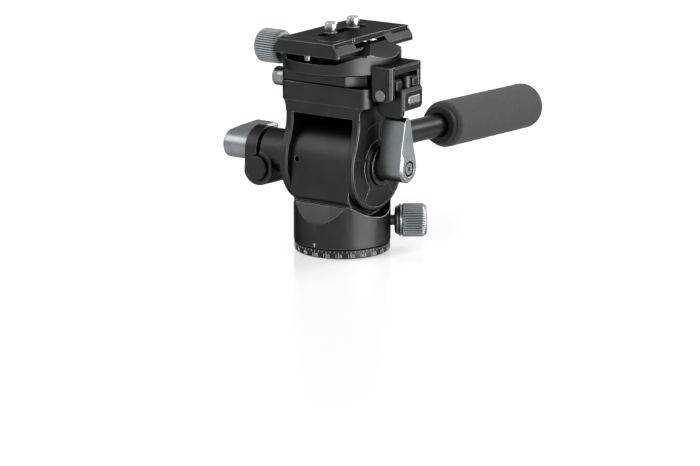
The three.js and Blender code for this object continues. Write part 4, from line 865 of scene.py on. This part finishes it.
def makePointer(sizes):
    half = sizes["width"] / 2
    corners = [(-half, sizes["top"]), (half, sizes["top"]), (0, sizes["bottom"])]
    mesh = bpy.data.meshes.new("dial_pointer")
    work = bmesh.new()
    layers = []
    for reach in (sizes["radius"] + sizes["proud"], sizes["radius"] + sizes["proud"] - sizes["depth"]):
        angles = [math.radians(sizes["azimuth"]) + across / sizes["radius"] for across, _ in corners]
        layers.append([
            work.verts.new((reach * mm * math.cos(angle), reach * mm * math.sin(angle), height * mm))
            for angle, (_, height) in zip(angles, corners)
        ])
    outer, inner = layers
    work.faces.new(outer)
    work.faces.new(reversed(inner))
    for i in range(len(corners)):
        j = (i + 1) % len(corners)
        work.faces.new((outer[i], inner[i], inner[j], outer[j]))
    bmesh.ops.recalc_face_normals(work, faces=work.faces)
    work.to_mesh(mesh)
    work.free()
    mesh.materials.append(enamel)
    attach(placeMesh("dial_pointer", mesh), "pan_body")


makePointer(pointer)
print("dial made")

# Studio: a pale floor that takes the shadow, a low strip close beside the head on the right, as tall as the
# head, and soft lights at the upper left, the rear right and above. A lamp's place is where its middle is, in
# metres; each faces the head. Power is given as brightness, the same on lamps of any size. The strip works as
# a reflection card: it shows in the metals and leaves matt surfaces alone. "floorLift" is the floor's glow.
studio = {
    "floorHalf": 6.0, "floorGap": 0.0002, "floorColour": "#e6e6e6", "floorSheen": 0.22, "floorDensity": 1.7,
    "floorLift": 0.48, "worldLight": 0.32, "aim": (0, 0, 0.055),
    "lamps": [
        {
            "name": "sideStrip", "azimuth": -3, "elevation": 1, "distance": 0.3, "size": (0.33, 0.11),
            "brightness": 13, "lightsMatt": False,
        },
        {
            "name": "leftSoftbox", "azimuth": -138, "elevation": 34, "distance": 1.2, "size": (0.65, 0.75),
            "brightness": 3.0, "lightsMatt": True,
        },
        {
            "name": "rearSoftbox", "azimuth": 64, "elevation": 28, "distance": 1.2, "size": (0.5, 0.7),
            "brightness": 7.5, "lightsMatt": True,
        },
        {
            "name": "topSoftbox", "azimuth": -30, "elevation": 76, "distance": 1.4, "size": (1.0, 1.0),
            "brightness": 0.8, "lightsMatt": True,
        },
    ],
}


def lookingRays(tree):
    # 1 for a ray that looks at the studio, straight, mirrored or through glass; 0 for other light
    rays = addNode(tree, "ShaderNodeLightPath").outputs
    direct = addNode(tree, "ShaderNodeMath", {"operation": "MAXIMUM"}, {
        0: rays["Is Camera Ray"], 1: rays["Is Glossy Ray"],
    })
    every = addNode(tree, "ShaderNodeMath", {"operation": "MAXIMUM"}, {
        0: direct.outputs[0], 1: rays["Is Transmission Ray"],
    })
    return every.outputs[0]


def makeFloor(sizes):
    material = newMaterial("paleStudioFloor")
    tree = material.node_tree
    strength = addNode(tree, "ShaderNodeMath", {"operation": "MULTIPLY", 1: sizes["floorLift"]}, {
        0: lookingRays(tree),
    })
    paint = addNode(tree, "ShaderNodeBsdfPrincipled", {
        "Base Color": toLinear(sizes["floorColour"]), "Roughness": sizes["floorSheen"],
        "IOR": sizes["floorDensity"],
    })
    glow = addNode(tree, "ShaderNodeEmission", {"Color": (1, 1, 1, 1)}, {"Strength": strength.outputs[0]})
    both = addNode(tree, "ShaderNodeAddShader", None, {0: paint.outputs[0], 1: glow.outputs[0]})
    addNode(tree, "ShaderNodeOutputMaterial", None, {"Surface": both.outputs[0]})
    mesh = bpy.data.meshes.new("studioFloor")
    half, level = sizes["floorHalf"], cadBox[0][2] - sizes["floorGap"]
    corners = [(-half, -half, level), (half, -half, level), (half, half, level), (-half, half, level)]
    mesh.from_pydata(corners, [], [(0, 1, 2, 3)])
    mesh.materials.append(material)
    placeMesh("studioFloor", mesh)


def makeWorld(sizes):
    world = bpy.data.worlds.new("studioWorld")
    bpy.context.scene.world = world
    world.use_nodes = True
    tree = world.node_tree
    tree.nodes.clear()
    strength = addNode(tree, "ShaderNodeMapRange", {"To Min": sizes["worldLight"], "To Max": 1.0}, {
        "Value": lookingRays(tree),
    })
    sky = addNode(tree, "ShaderNodeBackground", {"Color": (1, 1, 1, 1)}, {"Strength": strength.outputs[0]})
    addNode(tree, "ShaderNodeOutputWorld", None, {"Surface": sky.outputs[0]})


def makeLamp(lamp, aim):
    data = bpy.data.lights.new(lamp["name"], "AREA")
    data.shape = "RECTANGLE"
    data.size, data.size_y = lamp["size"]
    data.energy = lamp["brightness"] * math.pi * data.size * data.size_y
    azimuth, elevation = math.radians(lamp["azimuth"]), math.radians(lamp["elevation"])
    across = math.cos(elevation)
    way = Vector((math.cos(azimuth) * across, math.sin(azimuth) * across, math.sin(elevation)))
    facing = way.to_track_quat("Z", "Y").to_matrix().to_4x4()
    holder = bpy.data.objects.new(lamp["name"], data)
    holder.matrix_world = Matrix.Translation(aim + way * lamp["distance"]) @ facing
    holder.visible_camera = False
    holder.visible_diffuse = lamp["lightsMatt"]
    bpy.context.scene.collection.objects.link(holder)


makeFloor(studio)
makeWorld(studio)
for lamp in studio["lamps"]:
    makeLamp(lamp, Vector(studio["aim"]))
bpy.context.scene.view_settings.view_transform = "Standard"
print("studio ready")
